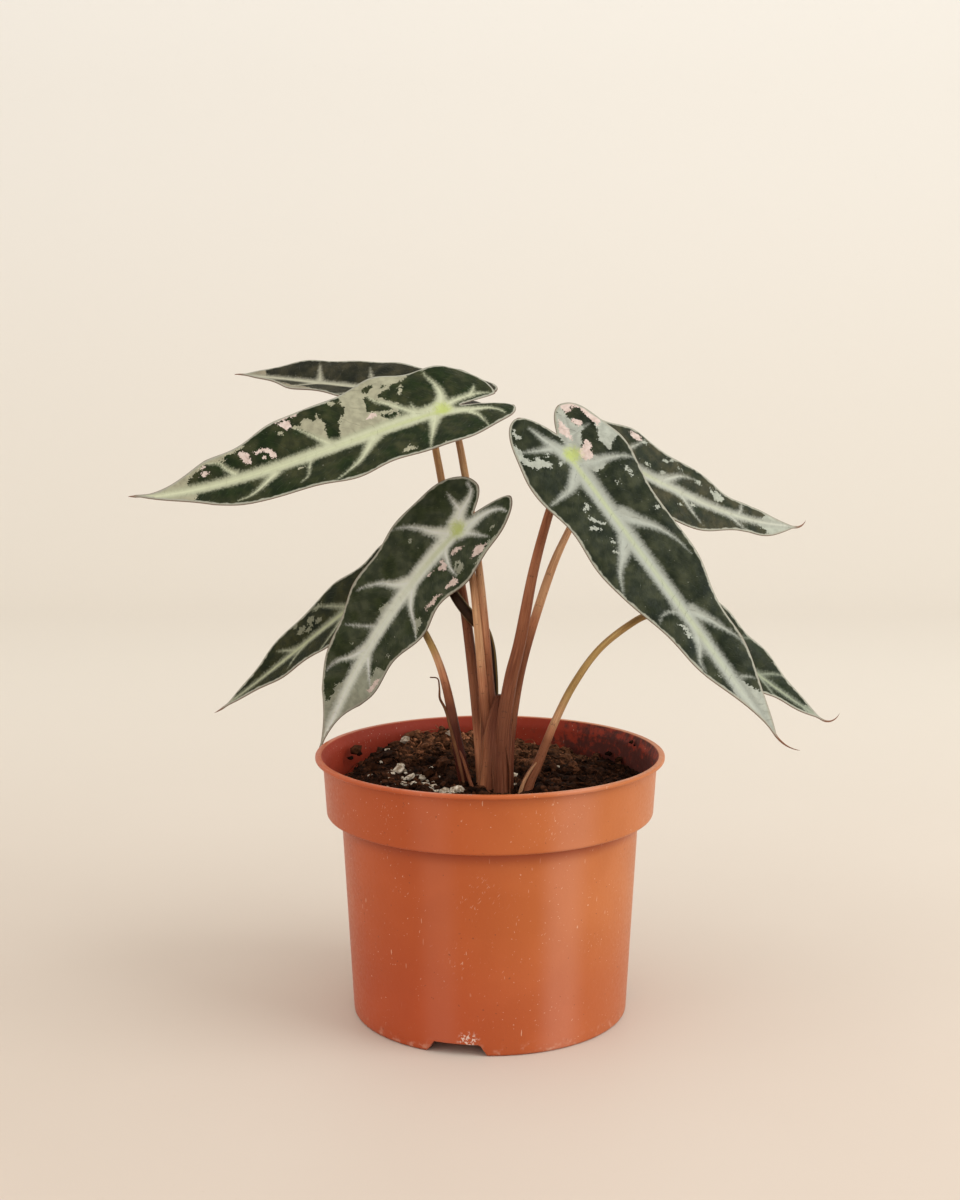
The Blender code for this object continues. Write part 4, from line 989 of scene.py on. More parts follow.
def vein_fields(leaf, u, v):
    """Signed distance inside the pale bands, place along and away from the strongest one, and the
    distance from the nearest side vein. v is positive in the left half. The bands are joined by
    the log of the sum of their exponentials, which webs the corners between them."""
    middle, start, end = MIDRIBS[leaf.name]
    share = np.clip(u / leaf.length, 0, 1)
    from_middle = v - middle * np.clip(u / 12, 0, 1)
    strongest = start + (end - start) * share - np.hypot(from_middle, np.clip(-u, 0, None))
    total = np.exp(strongest / WEBBING)
    along, away = u.copy(), np.abs(from_middle)
    side_distance = np.full(len(u), FAR)
    for number, (start, end, points) in enumerate(VEINS[leaf.name]):
        line = smooth_path([(a, b, 0) for a, b in points], 1.0)[:, :2]
        distance, gone, length = line_distance(u, v, line)
        taper = gone / length
        band = 0.6 * end + (0.95 * start - 0.6 * end) * (1 - taper) ** 1.7 - 0.5 * taper ** 5
        band = band - distance
        total += np.exp(band / WEBBING)
        nearer = band > strongest
        strongest = np.where(nearer, band, strongest)
        along = np.where(nearer, gone + STREAK_SHIFT * (number + 1), along)
        away = np.where(nearer, distance, away)
        side_distance = np.minimum(side_distance, distance + 0.8 * taper + 0.6 * (start < 1))
    return WEBBING * np.log(total), along, away, side_distance


def outline_field(u, v, outline):
    """Distance from an outline of points, positive inside it. A place is inside when a line from it
    along u crosses the outline an odd number of times."""
    corners = np.array(outline, float)
    best = np.full(len(u), FAR)
    crossed = np.zeros(len(u), int)
    for start, end in zip(corners, np.roll(corners, -1, 0)):
        best = np.minimum(best, segment_distance(u, v, start, end)[0])
        run, rise = end - start
        if rise:
            between = (start[1] > v) != (end[1] > v)
            crossed += between & (u < start[0] + (v - start[1]) * run / rise)
    return np.where(crossed % 2 == 1, best, -best)


def patch_field(u, v, patches):
    """Distance inside the nearest of some patches, which are outlines or ovals, in millimetres."""
    field = np.full(len(u), -9.0)
    for patch in patches:
        if isinstance(patch, tuple):
            centre_u, centre_v, half_u, half_v = patch
            reach = np.hypot((u - centre_u) / half_u, (v - centre_v) / half_v)
            inside = (1 - reach) * min(half_u, half_v)
        else:
            inside = outline_field(u, v, patch)
        field = np.maximum(field, inside)
    return field


def blade_grid(leaf, half):
    """Rows of places (u, v) from the lobe's end to the tail's, each from the inner edge to the
    margin, and which of the places lie on the outline."""
    lobe = leaf.lobe[half]
    rows = int(np.ceil((leaf.length + leaf.sinus) / BLADE_CELL))
    lobe_rows = int(np.ceil(1.6 * (lobe - leaf.sinus) / BLADE_CELL))
    columns = int(np.ceil(max(leaf.width) / BLADE_CELL)) + 4
    lobe_u = -lobe + (lobe - leaf.sinus) * np.linspace(0, 1, lobe_rows)[:-1] ** 2
    u = np.concatenate([lobe_u, np.linspace(-leaf.sinus, leaf.length, rows),
                        leaf.length + leaf.tail[0] * np.linspace(0, 1, TAIL_ROWS + 1)[1:]])
    inner = notch_edge(leaf, u, half)
    inner[len(lobe_u):] = 0
    outer = half_width(leaf, u, half)
    outer[0] = inner[0]
    share = 1 - (1 - np.linspace(0, 1, columns)) ** 1.25
    v = inner[:, None] + (outer - inner)[:, None] * share
    on_edge = np.zeros(v.shape, bool)
    on_edge[:, -1] = True
    on_edge[:len(lobe_u) + 1, 0] = True
    on_edge[-1] = True
    return np.repeat(u[:, None], columns, 1), v, on_edge


def make_blade(leaf, upper, lower):
    """A closed blade: upper and lower faces on grids that follow the outline, meeting in a round
    edge, with sunken veins above and a keel and raised veins below."""
    points, faces, slots, fields = [], [], [], []
    first = 0
    for half in (0, 1):
        grid_u, grid_v, on_edge = blade_grid(leaf, half)
        u, v = grid_u.ravel(), grid_v.ravel()
        middle, normal = blade_points(leaf, u, v, half), blade_normals(leaf, u, v, half)
        rim = line_distance(u, v, margin_line(leaf, half))[0]
        rim[on_edge.ravel()] = 0
        signed_v = (1, -1)[half] * v
        inside, along, away, vein = vein_fields(leaf, u, signed_v)
        share = np.clip(u / leaf.length, 0, 1)
        edge, indoors = np.clip(rim / EDGE_ROUNDING, 0, 1), np.clip(rim / 2, 0, 1)
        thickness = BLADE_THICKNESS / 2 * np.sqrt(1 - (1 - edge) ** 2)
        sink = VEIN_SINK * bell(vein, VEIN_WIDTH) * edge
        sink += MIDRIB_SINK * bell(v, MIDRIB_WIDTH) * (1 - share) * edge
        swell = PANEL_SWELL * (1 - bell(vein, PANEL_GAP)) * np.clip(rim / 4, 0, 1)
        swell *= 1 - bell(v, 3.0)
        keel = KEEL_HEIGHT * bell(v, KEEL_WIDTH) * (1 - share) ** 0.8 * indoors
        rib = RIB_HEIGHT * bell(vein, RIB_WIDTH) * indoors
        top = thickness - BLADE_THICKNESS / 2 - sink + swell
        bottom = -thickness - BLADE_THICKNESS / 2 - keel - rib + 0.7 * swell
        quads = grid_faces(*grid_u.shape)
        if half == 0:
            quads = quads[:, ::-1]
        points += [middle + top[:, None] * normal, middle + bottom[:, None] * normal]
        faces += [quads[:, ::-1] + first, quads + first + len(u)]
        slots += [np.zeros(len(quads), int), np.ones(len(quads), int)]
        patches = [patch_field(u, signed_v, table.get(leaf.name, []))
                   for table in (SILVER, BLUSH, ISLANDS)]
        fields += [np.stack([u, signed_v, inside, along, away, rim, *patches])] * 2
        first += 2 * len(u)
    names = ("run", "cross", "inside", "along", "away", "rim", "silver", "blush", "island")
    blade = add_piece("blade_" + leaf.name, np.vstack(points), np.vstack(faces), [upper, lower],
                      dict(zip(names, np.hstack(fields))), np.concatenate(slots))
    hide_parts(leaf.name)


def upper_finish(leaf):
    """Dark panels between feathered silver bands, a yellow-green midrib and joint, silver and
    blush patches with torn edges, a pale margin with a thin brown edge, and a dried tip."""
    nodes = Finish("upper_face_" + leaf.name, 0.42, 0.10)
    dark, drift, pale, band_tint = TINTS[leaf.name]
    run, cross, rim, inside, along, away = nodes.stored("run", "cross", "rim", "inside", "along",
                                                        "away")
    place = nodes.vector(run, cross)
    silver_patch, blush_patch, island = [
        nodes.use(RAGGED, Inside=depth, Place=place, Tear=tear, Tear_size=size, Fringe=fringe,
                  Fringe_size=fringe_size)
        for depth, (tear, size, fringe, fringe_size)
        in zip(nodes.stored(*TORN_EDGES), TORN_EDGES.values())]
    kept = 1.0 - island

    lines = nodes.use(FINE_VEINS, Run=run, Width=abs(cross), Spacing=3.1, Place=place)
    colour = place.mottle(8.0, dark, drift)
    colour = colour.mix(1.0, place.mottle(3.5, (1, 1, 1), (0.55, 0.6, 0.6)), "MULTIPLY")
    colour = colour.mix(lines * 0.4, tuple(0.03 + 1.8 * part for part in dark))
    silver = place.mottle(2.6, pale, shaded(pale, 0.80))
    colour = colour.mix(silver_patch * kept, silver)
    colour = colour.mix(place.specks(0.75, 0.755) * 0.75, (0.38, 0.37, 0.30))

    hairs = nodes.streaks(away, along, 2.6, 0.13)
    wisps = nodes.streaks(away, along, 4.0, 0.9)
    tufts = place.noise(1.1, 4.0, 0.65) - 0.5
    band = ((hairs - 0.5) * 2.2 + inside + (wisps - 0.5) + tufts * 2.2).ease(-1.05, 0.85)
    band_colour = nodes.mix(inside.ease(0.0, 1.6), shaded(band_tint, 0.72), band_tint)
    band_colour = band_colour.mix(hairs.ease(0.35, 0.7, 0.0, 0.25), silver)
    spine = away.ease(0.5, 0.1) * hairs.ease(0.2, 0.7)
    bright = tuple(min(part, 0.7) for part in shaded(band_tint, 1.15))
    colour = colour.mix(band * 0.96, band_colour.mix(spine * 0.8, bright))
    blush = place.mottle(1.6, (0.64, 0.52, 0.46), (0.54, 0.42, 0.36))
    colour = colour.mix(blush_patch * kept, blush)

    middle, start, _ = MIDRIBS[leaf.name]
    core = abs(cross - middle).ease(0.50 * start, 0.05)
    core = core * run.ease(0.42 * leaf.length, 3.0, CORE_LEFT[leaf.name], 0.72)
    core = core * run.ease(0.95 * leaf.length, 0.6 * leaf.length) * run.ease(-5.0, 0.0)
    core_tint = tuple(0.3 * a + 0.7 * b for a, b in zip(band_tint, (0.41, 0.45, 0.17)))
    joint = (tufts * 5.0 + nodes.length(run, cross)).ease(4.4, 0.8)
    margin = place.noise(0.4) * 1.2 + rim
    tip = run.ease(leaf.length - 2.0, leaf.length + 2.5)
    for share, tint in ((core, core_tint), (joint * 0.75, (0.42, 0.48, 0.11)),
                        (margin.ease(1.6, 1.15), (0.34, 0.33, 0.26)),
                        (rim.ease(0.30, 0.12), (0.22, 0.16, 0.12)), (tip, (0.20, 0.085, 0.045))):
        colour = colour.mix(share, tint)
    grain = place.noise(1.4, 4.0, 0.6)
    height = place.noise(0.22) * 3.0 + lines * 0.8 + grain * 0.8
    return nodes.done(colour, height, 0.16, grain.ease(0.3, 0.7, 0.34, 0.50))


def lower_finish():
    """The blade's underside: dull purple brown with paler raised veins and a pinkish keel."""
    nodes = Finish("lower_face", 0.5, 0.25)
    run, cross, inside, rim = nodes.stored("run", "cross", "inside", "rim")
    place = nodes.vector(run, cross)
    colour = place.mottle(6.0, (0.070, 0.038, 0.030), (0.048, 0.042, 0.022))
    colour = colour.mix(inside.ease(-0.6, 0.6) * 0.5, (0.20, 0.15, 0.10))
    colour = colour.mix(abs(cross).ease(1.2, 0.5) * 0.8, (0.26, 0.14, 0.09))
    colour = colour.mix(rim.ease(0.9, 0.3) * 0.8, (0.22, 0.17, 0.13))
    return nodes.done(colour, place.noise(1.8, 4.0, 0.6), 0.12)


# Stalks and young leaf

def with_poles(surface):
    """A tube's rings with a pole at each end."""
    start = np.repeat(surface[:1].mean(1, keepdims=True), surface.shape[1], 1)
    end = np.repeat(surface[-1:].mean(1, keepdims=True), surface.shape[1], 1)
    return np.concatenate([start, surface, end])


def tube_rings(points, step, sides, ribs=0.0, rib_count=7, flat=1.0):
    """Rings round a smooth path, with poles: each ring's radius swells by a share ribs in rib_count
    ribs, and flat narrows it along its second side. Also along and around in millimetres."""
    path = smooth_path(points, step)
    centres, radii = path[:, :3], path[:, 3]
    side, other = carried_frames(centres, (0.2, 1, 0))
    angle = circle(sides)
    swell = 1 + ribs * np.cos(rib_count * angle)
    ring = (np.cos(angle) * swell)[None, :, None] * side[:, None, :]
    ring = ring + flat * (np.sin(angle) * swell)[None, :, None] * other[:, None, :]
    surface = centres[:, None, :] + radii[:, None, None] * ring
    gone = np.cumsum(np.linalg.norm(np.diff(centres, axis=0), axis=1))
    along = np.repeat(np.concatenate([[0, 0], gone, gone[-1:]])[:, None], sides, 1)
    around = np.repeat(np.abs(angle - np.pi)[None, :] * 1.6, len(along), 0)
    return with_poles(surface), along, around


def sheath_rings():
    """Level ovals up the sheath, folded lengthwise: the radius swells and sinks in uneven folds."""
    stations = smooth_path([(x, y, height, wide, deep) for height, x, y, wide, deep in SHEATH], 0.8)
    angle = circle(SHEATH_SEGMENTS)
    folds = 1 + 0.06 * np.sin(5 * angle + 0.6) + 0.04 * np.sin(11 * angle + 2.0)
    x = stations[:, 0, None] + stations[:, 3, None] * (np.cos(angle) * folds)[None, :]
    y = stations[:, 1, None] + stations[:, 4, None] * (np.sin(angle) * folds)[None, :]
    z = np.repeat(stations[:, 2, None], SHEATH_SEGMENTS, 1)
    rings = with_poles(np.stack([x, y, z], -1))
    around = np.repeat(np.abs(angle - np.pi)[None, :] * 5.0, len(rings), 0)
    return rings, rings[:, :, 2] - SHEATH[0][0], around


def stalk_line(leaf):
    """A stalk's points up to the blade, where it turns square to the blade's underside."""
    out = blade_frame(leaf, np.array([0.0]))[2][0]
    radius = STALKS[leaf.name][-1][3]
    bend, end = [np.array(leaf.at, float) - out * down
                 for down in (STALK_BEND, BLADE_THICKNESS * 1.8)]
    return STALKS[leaf.name] + [(*bend, radius), (*end, radius)]


def make_stalks(finish):
    """Seven leaf stalks with faint lengthwise ribs, the sheath that holds their feet, and the thin
    edges of the sheath."""
    tubes = []
    for number, leaf in enumerate(LEAVES):
        rings, along, around = tube_rings(stalk_line(leaf), STALK_STEP, STALK_SIDES,
                                          STALK_RIB_SHARE, STALK_RIBS)
        ripe = np.interp(along / along[-1, 0], *zip(*RIPENESS[leaf.name]))
        tubes.append((rings, along + 50 * number, around, ripe))
    rings, along, around = sheath_rings()
    tubes.append((rings, along, around, np.interp(rings[:, :, 0], SHEATH_SIDES, SHEATH_RIPENESS)))
    for number, (ripe, path) in enumerate(SHEATH_EDGES):
        rings, along, around = tube_rings(path, 0.8, 10, 0.0, 1, 0.6)
        tubes.append((rings, along + 20 * number, around, np.full(along.shape, ripe)))
    faces = []
    first = 0
    for rings, *_ in tubes:
        faces.append(grid_faces(*rings.shape[:2], True, first))
        first += rings.size // 3
    _, *fields = zip(*tubes)
    values = {key: np.concatenate([field.ravel() for field in found])
              for key, found in zip(("along", "around", "ripe"), fields)}
    points = np.vstack([rings.reshape(-1, 3) for rings, *_ in tubes])
    stalks = add_piece("leaf_stalks", points, np.vstack(faces), [finish], values)
    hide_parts("stems")


def stalk_finish():
    """Dark red-brown at the foot, turning pinkish brown and then tan and olive towards the blades,
    with fine lengthwise streaks and small dark flecks."""
    nodes = Finish("stalk_skin", 0.42, 0.12)
    along, around, ripe = nodes.stored("along", "around", "ripe")
    streaks = nodes.streaks(along, around, 14.0, 0.24).ease(0.3, 0.7)
    colour = nodes.mix(streaks, (0.040, 0.004, 0.001), (0.080, 0.012, 0.003))
    for low, high, dark, light in RIPE_STAGES:
        colour = colour.mix(ripe.ease(low, high), nodes.mix(streaks, dark, light))
    drift = nodes.vector(along * 0.09, around).noise(0.5)
    colour = colour.mix(drift.ease(0.4, 0.65, 0.0, 0.5), (0.62, 0.45, 0.42), "MULTIPLY")
    flecks = nodes.vector(along, around).specks(1.1, 0.68)
    colour = colour.mix(flecks * 0.5, (0.07, 0.028, 0.016))
    return nodes.done(colour, streaks, 0.15)


def add_tube(name, tube, finish):
    """A piece from one tube, which keeps its along and around."""
    rings, along, around = tube
    return add_piece(name, rings, grid_faces(*rings.shape[:2], True), [finish],
                     {"along": along, "around": around})


def make_new_leaf():
    """The rolled young leaf: a spindle whose rolled edge runs up it as a paler seam."""
    nodes = Finish("young_leaf_skin", 0.45, 0.10)
    along, around = nodes.stored("along", "around")
    streaks = nodes.streaks(along, around, 9.0, 0.4)
    colour = nodes.mix(streaks.ease(0.35, 0.75), (0.014, 0.006, 0.002), (0.050, 0.021, 0.008))
    seam = abs(around - along * 0.01 - 1.7).ease(0.6, 0.2)
    colour = colour.mix(seam * 0.85, (0.16, 0.095, 0.016))
    piece = add_tube("rolled_leaf", tube_rings(NEW_LEAF, 0.6, 32), nodes.done(colour, streaks, 0.12))
    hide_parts("new_leaf")


def make_dried_sheath():
    """The dried end of an old sheath: a flat strip that leaves its stalk and curls over."""
    nodes = Finish("dried_sheath_skin", 0.75, 0.15)
    streaks = nodes.streaks(*nodes.stored("along", "around"), 4.0, 0.3)
    colour = nodes.mix(streaks.ease(0.3, 0.7), (0.060, 0.018, 0.008), (0.20, 0.080, 0.030))
    piece = add_tube("curled_sheath", tube_rings(DRIED_SHEATH, 0.4, 16, 0.08, 3, 0.55),
                     nodes.done(colour, streaks, 0.2))
    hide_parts("dried_sheath")


# Pot

def rounded_profile(corners):
    """A closed profile whose corners (radius, height, rounding) are arcs between its straights."""
    line = []
    for index, (x, z, rounding) in enumerate(corners):
        here = np.array([x, z])
        before = np.array(corners[index - 1][:2]) - here
        after = np.array(corners[(index + 1) % len(corners)][:2]) - here
        reach = min(rounding, 0.45 * np.linalg.norm(before), 0.45 * np.linalg.norm(after))
        start = here + before / np.linalg.norm(before) * reach
        end = here + after / np.linalg.norm(after) * reach
        t = np.linspace(0, 1, 5)[:, None]
        line.append((1 - t) ** 2 * start + 2 * t * (1 - t) * here + t ** 2 * end)
    return np.vstack(line)


def body_radius(height):
    """Outer radius of the pot's body, which narrows evenly to its foot."""
    return BODY_FOOT_RADIUS + (BODY_TOP_RADIUS - BODY_FOOT_RADIUS) * height / COLLAR_FOOT


def make_pot(finish):
    """Turned wall, collar and lip. Round the foot, points below a notch's top are lifted to it."""
    lip_foot = POT_HEIGHT - LIP_THICKNESS
    floor_top = FLOOR_UNDERSIDE + FLOOR_THICKNESS
    shelf_top = COLLAR_FOOT + WALL
    ring_inside = BODY_FOOT_RADIUS - FOOT_RING_WIDTH
    above_notch = NOTCH_HEIGHT + 0.6
    profile = rounded_profile([
        (ring_inside, 0, 0.4), (BODY_FOOT_RADIUS, 0, 1.2),
        (body_radius(above_notch), above_notch, 0.2), (BODY_TOP_RADIUS, COLLAR_FOOT, 0.5),
        (COLLAR_FOOT_RADIUS, COLLAR_FOOT, 1.1), (COLLAR_TOP_RADIUS, lip_foot, 0.5),
        (LIP_RADIUS, lip_foot, 0.5), (LIP_RADIUS, POT_HEIGHT, 0.5),
        (MOUTH_RADIUS + 0.7, POT_HEIGHT, 0.4), (COLLAR_TOP_RADIUS - WALL + 0.4, lip_foot - 2, 1.0),
        (COLLAR_FOOT_RADIUS - WALL, shelf_top, 1.2),
        (BODY_TOP_RADIUS - WALL, shelf_top - 0.4, 0.5),
        (body_radius(floor_top) - WALL, floor_top, 1.4), (CENTRE_HOLE_RADIUS, floor_top, 0.4),
        (CENTRE_HOLE_RADIUS, FLOOR_UNDERSIDE, 0.4), (ring_inside, FLOOR_UNDERSIDE, 0.3)])
    angle = circle(POT_SEGMENTS)
    radius, height = np.repeat(profile.T[:, :, None], POT_SEGMENTS, 2)
    turn = angle - radians(FIRST_NOTCH_ANGLE)
    turn = (turn + np.pi / NOTCHES) % (2 * np.pi / NOTCHES) - np.pi / NOTCHES
    across = np.abs(turn) * BODY_FOOT_RADIUS / (NOTCH_WIDTH / 2)
    lift = NOTCH_HEIGHT * np.clip((NOTCH_FLARE - across) / (NOTCH_FLARE - NOTCH_TOP), 0, 1)
    near_foot = (radius > ring_inside - 0.5) & (height < NOTCH_HEIGHT + 0.3)
    height = np.where(near_foot, np.maximum(height, lift[None, :]), height)
    points = np.stack([radius * np.cos(angle), radius * np.sin(angle), height], -1)
    points = np.concatenate([points, points[:1]])
    pot = add_piece("nursery_pot", points, grid_faces(len(points), POT_SEGMENTS, True), [finish])
    drill_floor(pot)
    pot.data.set_sharp_from_angle(angle=radians(50))
    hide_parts("pot")


def drill_floor(pot):
    """Cuts the round drain holes out of the pot's floor."""
    sides = DRAIN_HOLE_SIDES
    holes = bpy.data.collections.new("drain_holes")
    bpy.context.scene.collection.children.link(holes)
    walls = grid_faces(2, sides, True).tolist()
    caps = [list(range(sides))[::-1], list(range(sides, 2 * sides))]
    for index in range(DRAIN_HOLES):
        turn = radians(FIRST_NOTCH_ANGLE + index * 360 / DRAIN_HOLES)
        x = DRAIN_HOLE_CIRCLE * np.cos(turn) + DRAIN_HOLE_RADIUS * np.cos(circle(sides))
        y = DRAIN_HOLE_CIRCLE * np.sin(turn) + DRAIN_HOLE_RADIUS * np.sin(circle(sides))
        points = [np.column_stack([x, y, np.full(sides, z)])
                  for z in (FLOOR_UNDERSIDE - 1, FLOOR_UNDERSIDE + FLOOR_THICKNESS + 1)]
        mesh = bpy.data.meshes.new("drain_hole")
        mesh.from_pydata((np.vstack(points) * MM + AXIS).tolist(), [], walls + caps)
        holes.objects.link(bpy.data.objects.new("drain_hole", mesh))
    cut = pot.modifiers.new("drain_holes", "BOOLEAN")
    cut.operand_type = "COLLECTION"
    cut.collection = holes
    graph = bpy.context.evaluated_depsgraph_get()
    mesh = bpy.data.meshes.new_from_object(pot.evaluated_get(graph))
    pot.modifiers.clear()
    pot.data = mesh
    for hole in list(holes.objects):
        bpy.data.objects.remove(hole)
    bpy.data.collections.remove(holes)


def round_spot(nodes, parts, centre_x, centre_z, outer, inner):
    """1 within the inner reach of a place on the pot's front, and 0 beyond the outer one."""
    x, y, z = parts
    return nodes.length(x - centre_x, z - centre_z).ease(outer, inner) * y.ease(-20.0, -30.0)


def pot_finish():
    """Satin terracotta plastic, redder at the foot, with pale scuffs and dust, a redder inside, and
    smears of soil on the inside.
    It has painted light too: painted shade makes it redder on the left and painted sheen paler on the
    right, two pale upright bands of painted sheen run up its front, painted shade darkens the body
    under the collar, and painted shade darkens the inside towards the right."""
    nodes = Finish("terracotta_plastic", 0.38, 0.38)
    place = nodes.object_place()
    parts = nodes.round_axis(place)
    x, y, z = parts
    reach = nodes.length(x, y)
    colour = place.mottle(30.0, (0.488, 0.104, 0.024), (0.448, 0.090, 0.018))
    # Painted light: painted shade makes the pot redder on the left, and painted sheen makes it paler on
    # the right
    painted_sheen_drift = nodes.mix(x.ease(-32.0, 46.0), (0.95, 0.80, 0.62), (1.03, 1.42, 1.62))
    colour = colour.mix(1.0, painted_sheen_drift, "MULTIPLY")
    colour = colour.mix(z.ease(50.0, 10.0), (0.94, 0.80, 0.88), "MULTIPLY")
    # Two upright bands of painted sheen on the pot's front
    for middle, half, share in SHEEN_BANDS:
        band = abs(x / reach - middle).ease(half, 0.03, 0.0, share) * y.ease(-15.0, -30.0)
        colour = colour.mix(band, (0.75, 0.45, 0.38))
    wall_middle = (z - COLLAR_FOOT) * 0.06 + (COLLAR_FOOT_RADIUS - 0.6)
    wall_middle = (z - (POT_HEIGHT - 3.3)).most(0.0) * 0.34 + wall_middle
    inner = (reach - wall_middle).ease(0.15, -0.1) * z.ease(71.2, 71.5)
    # Painted shade on the body just under the collar
    under_collar_shade = reach.ease(COLLAR_FOOT_RADIUS - 0.3, COLLAR_FOOT_RADIUS - 2.5)
    under_collar_shade = under_collar_shade * z.ease(COLLAR_FOOT - 6.0, COLLAR_FOOT - 0.8)

    zones = place.noise(0.045, 3.0).ease(0.44, 0.60)
    stretched = place.scaled(1.0, 1.0, 0.14)
    tilted = nodes.add("ShaderNodeVectorRotate", {"Vector": place, "Angle": 0.9},
                       rotation_type="Y_AXIS").scaled(0.14, 1.0, 1.0)
    scuffs = stretched.specks(0.7, 0.755).most(tilted.specks(0.7, 0.765))
    scuffs = scuffs.most(place.specks(0.8, 0.735)) * (zones * 0.92 + 0.08)
    worn = 0.0
    for spot_x, spot_z, size in WORN_PLACES:
        worn = round_spot(nodes, parts, spot_x, spot_z, size, 0.2 * size).most(worn)
    hairlines = tilted.specks(0.4, 0.70).most(stretched.specks(0.4, 0.73)) * (worn * 0.85)
    chip = round_spot(nodes, parts, *SCUFF_PLACE, 4.5, 1.5)
    chip = chip * place.noise(1.1, 3.0).ease(0.50, 0.62)
    dust = z.ease(6.0, 0.0) * place.noise(0.35, 4.0).ease(0.55, 0.75)
    # Dark smears of soil on the inside, with painted shade that darkens the right side
    smear_and_shade = z.ease(92.0, 78.0) * 0.14 + place.noise(0.28, 6.0, 0.7)
    smear_and_shade = (smear_and_shade + x.ease(10.0, 42.0, 0.05, 0.32)).ease(0.72, 0.90) * inner
    for share, tint in ((inner, (0.33, 0.027, 0.005)), (under_collar_shade * 0.75, (0.30, 0.040, 0.006)),
                        (scuffs.most(hairlines) * 0.62, (0.72, 0.46, 0.32)),
                        (chip * 0.85, (0.80, 0.66, 0.56)),
                        (place.specks(1.3, 0.755) * 0.55, (0.16, 0.045, 0.02)),
                        (dust * 0.45, (0.70, 0.45, 0.33)),
                        (smear_and_shade * 0.85, (0.040, 0.007, 0.003))):
        colour = colour.mix(share, tint)
    grain = place.noise(0.8, 4.0, 0.6)
    return nodes.done(colour, grain, 0.05, inner * 0.3 + grain.ease(0.3, 0.7, 0.32, 0.44))


# Soil

def soil_height(x, y):
    """Sloping level with one heap at the back left, sinking towards the wall, mostly on the left,
    and lumps of four sizes from smooth noise."""
    heap_x, heap_y, heap_radius, heap_height = SOIL_HEAP
    height = SOIL_LEVEL + SOIL_SLOPE_X * x + SOIL_SLOPE_Y * y
    height = height + heap_height * bell(np.hypot(x - heap_x, y - heap_y), heap_radius)
    rim = np.clip((np.hypot(x, y) - SOIL_RIM_START) / SOIL_RIM_WIDTH, 0, 1)
    left = np.clip(-0.04 * x - 0.9, 0, 1)
    height = height - rim ** 2 * (SOIL_RIM_SINK + SOIL_RIM_SINK_LEFT * left)
    for seed, (cell, size) in enumerate(SOIL_LUMPS, 1):
        height = height + size * lattice_noise(x, y, cell, seed)
    return height


def make_soil(finish):
    """A closed body of soil: the pot's inside below, and a lumpy top on rings to its middle."""
    shelf = COLLAR_FOOT + WALL + 0.3
    below = [(0, SOIL_FLOOR), (20, SOIL_FLOOR), (44.5, SOIL_FLOOR), (45.9, SOIL_FLOOR + 1.3),
             (49.4, shelf), (53.2, shelf), (SOIL_RADIUS, shelf + 1.4)]
    radius = np.concatenate([[r for r, _ in below], np.linspace(SOIL_RADIUS, 0, 88)])
    x = radius[:, None] * np.cos(circle(SOIL_SEGMENTS))
    y = radius[:, None] * np.sin(circle(SOIL_SEGMENTS))
    z = soil_height(x, y)
    for row, (_, height) in enumerate(below):
        z[row] = height
    soil = add_piece("soil_body", np.stack([x, y, z], -1), grid_faces(*x.shape, True), [finish],
                     {"shade": np.full(x.shape, 0.3)})
    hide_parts("soil")


def scattered(name, centres, sizes, seed, finish, squash=(0.6, 1.25), lightest=1.0):
    """Many small lumps in one mesh: a ball of six by three flat faces, pushed about at random,
    squeezed, turned and set at each centre. The shade is one random number for each lump."""
    sides, rows = 6, 4
    angle, tilt = circle(sides), np.linspace(0, np.pi, rows)
    shape = np.stack([np.outer(np.sin(tilt), np.cos(angle)), np.outer(np.sin(tilt), np.sin(angle)),
                      np.repeat(np.cos(tilt)[:, None], sides, 1)], -1).reshape(-1, 3)
    quads = grid_faces(rows, sides, True)[:, ::-1]
    draw = np.random.default_rng(seed)
    count = len(centres)
    push = 1 + draw.uniform(-0.3, 0.3, (count, rows, sides))
    push[:, [0, -1]] = 1
    squeeze = draw.uniform(*squash, (count, 1, 3))
    turn = draw.normal(size=(count, 4))
    turn /= np.linalg.norm(turn, axis=1)[:, None]
    lumps = shape[None] * push.reshape(count, -1, 1) * squeeze
    axis, part = turn[:, None, 1:], turn[:, None, :1]
    twist = 2 * np.cross(axis, lumps)
    lumps = (lumps + part * twist + np.cross(axis, twist)) * sizes[:, None, None]
    lumps[:, :, 2] *= LUMP_FLATNESS
    first = (np.arange(count) * len(shape))[:, None, None]
    shades = np.repeat(draw.uniform(0, lightest, count)[:, None], len(shape), 1)
    piece = add_piece(name, centres[:, None, :] + lumps, quads[None] + first, [finish],
                      {"shade": shades})
    piece.data.shade_flat()


def on_soil(x, y, sizes, sunk):
    """Centres on the soil for lumps of the given sizes, sunk by a share of their size."""
    return np.stack([x, y, soil_height(x, y) + sizes * (0.5 - sunk)], 1)


def disc_points(draw, count, radius):
    """Random places spread evenly over a disc."""
    angle = draw.uniform(0, 2 * np.pi, count)
    reach = radius * np.sqrt(draw.uniform(0, 1, count))
    return reach * np.cos(angle), reach * np.sin(angle)


def make_crumbs(finish):
    """Loose crumbs of potting mix in two sizes, some bark chips, and crumbs stuck to the wall."""
    for name, count, small, large, seed, squash, lightest in CRUMB_KINDS:
        draw = np.random.default_rng(seed)
        x, y = disc_points(draw, count, SOIL_RADIUS - 2.5)
        sizes = small + (large - small) * draw.uniform(0, 1, count) ** 2
        scattered(name, on_soil(x, y, sizes, 0.3), sizes, seed + 20, finish, squash, lightest)
    wall = np.array(WALL_CRUMBS)
    scattered("wall_crumbs", wall[:, :3], wall[:, 3], WALL_CRUMB_SEED, finish)


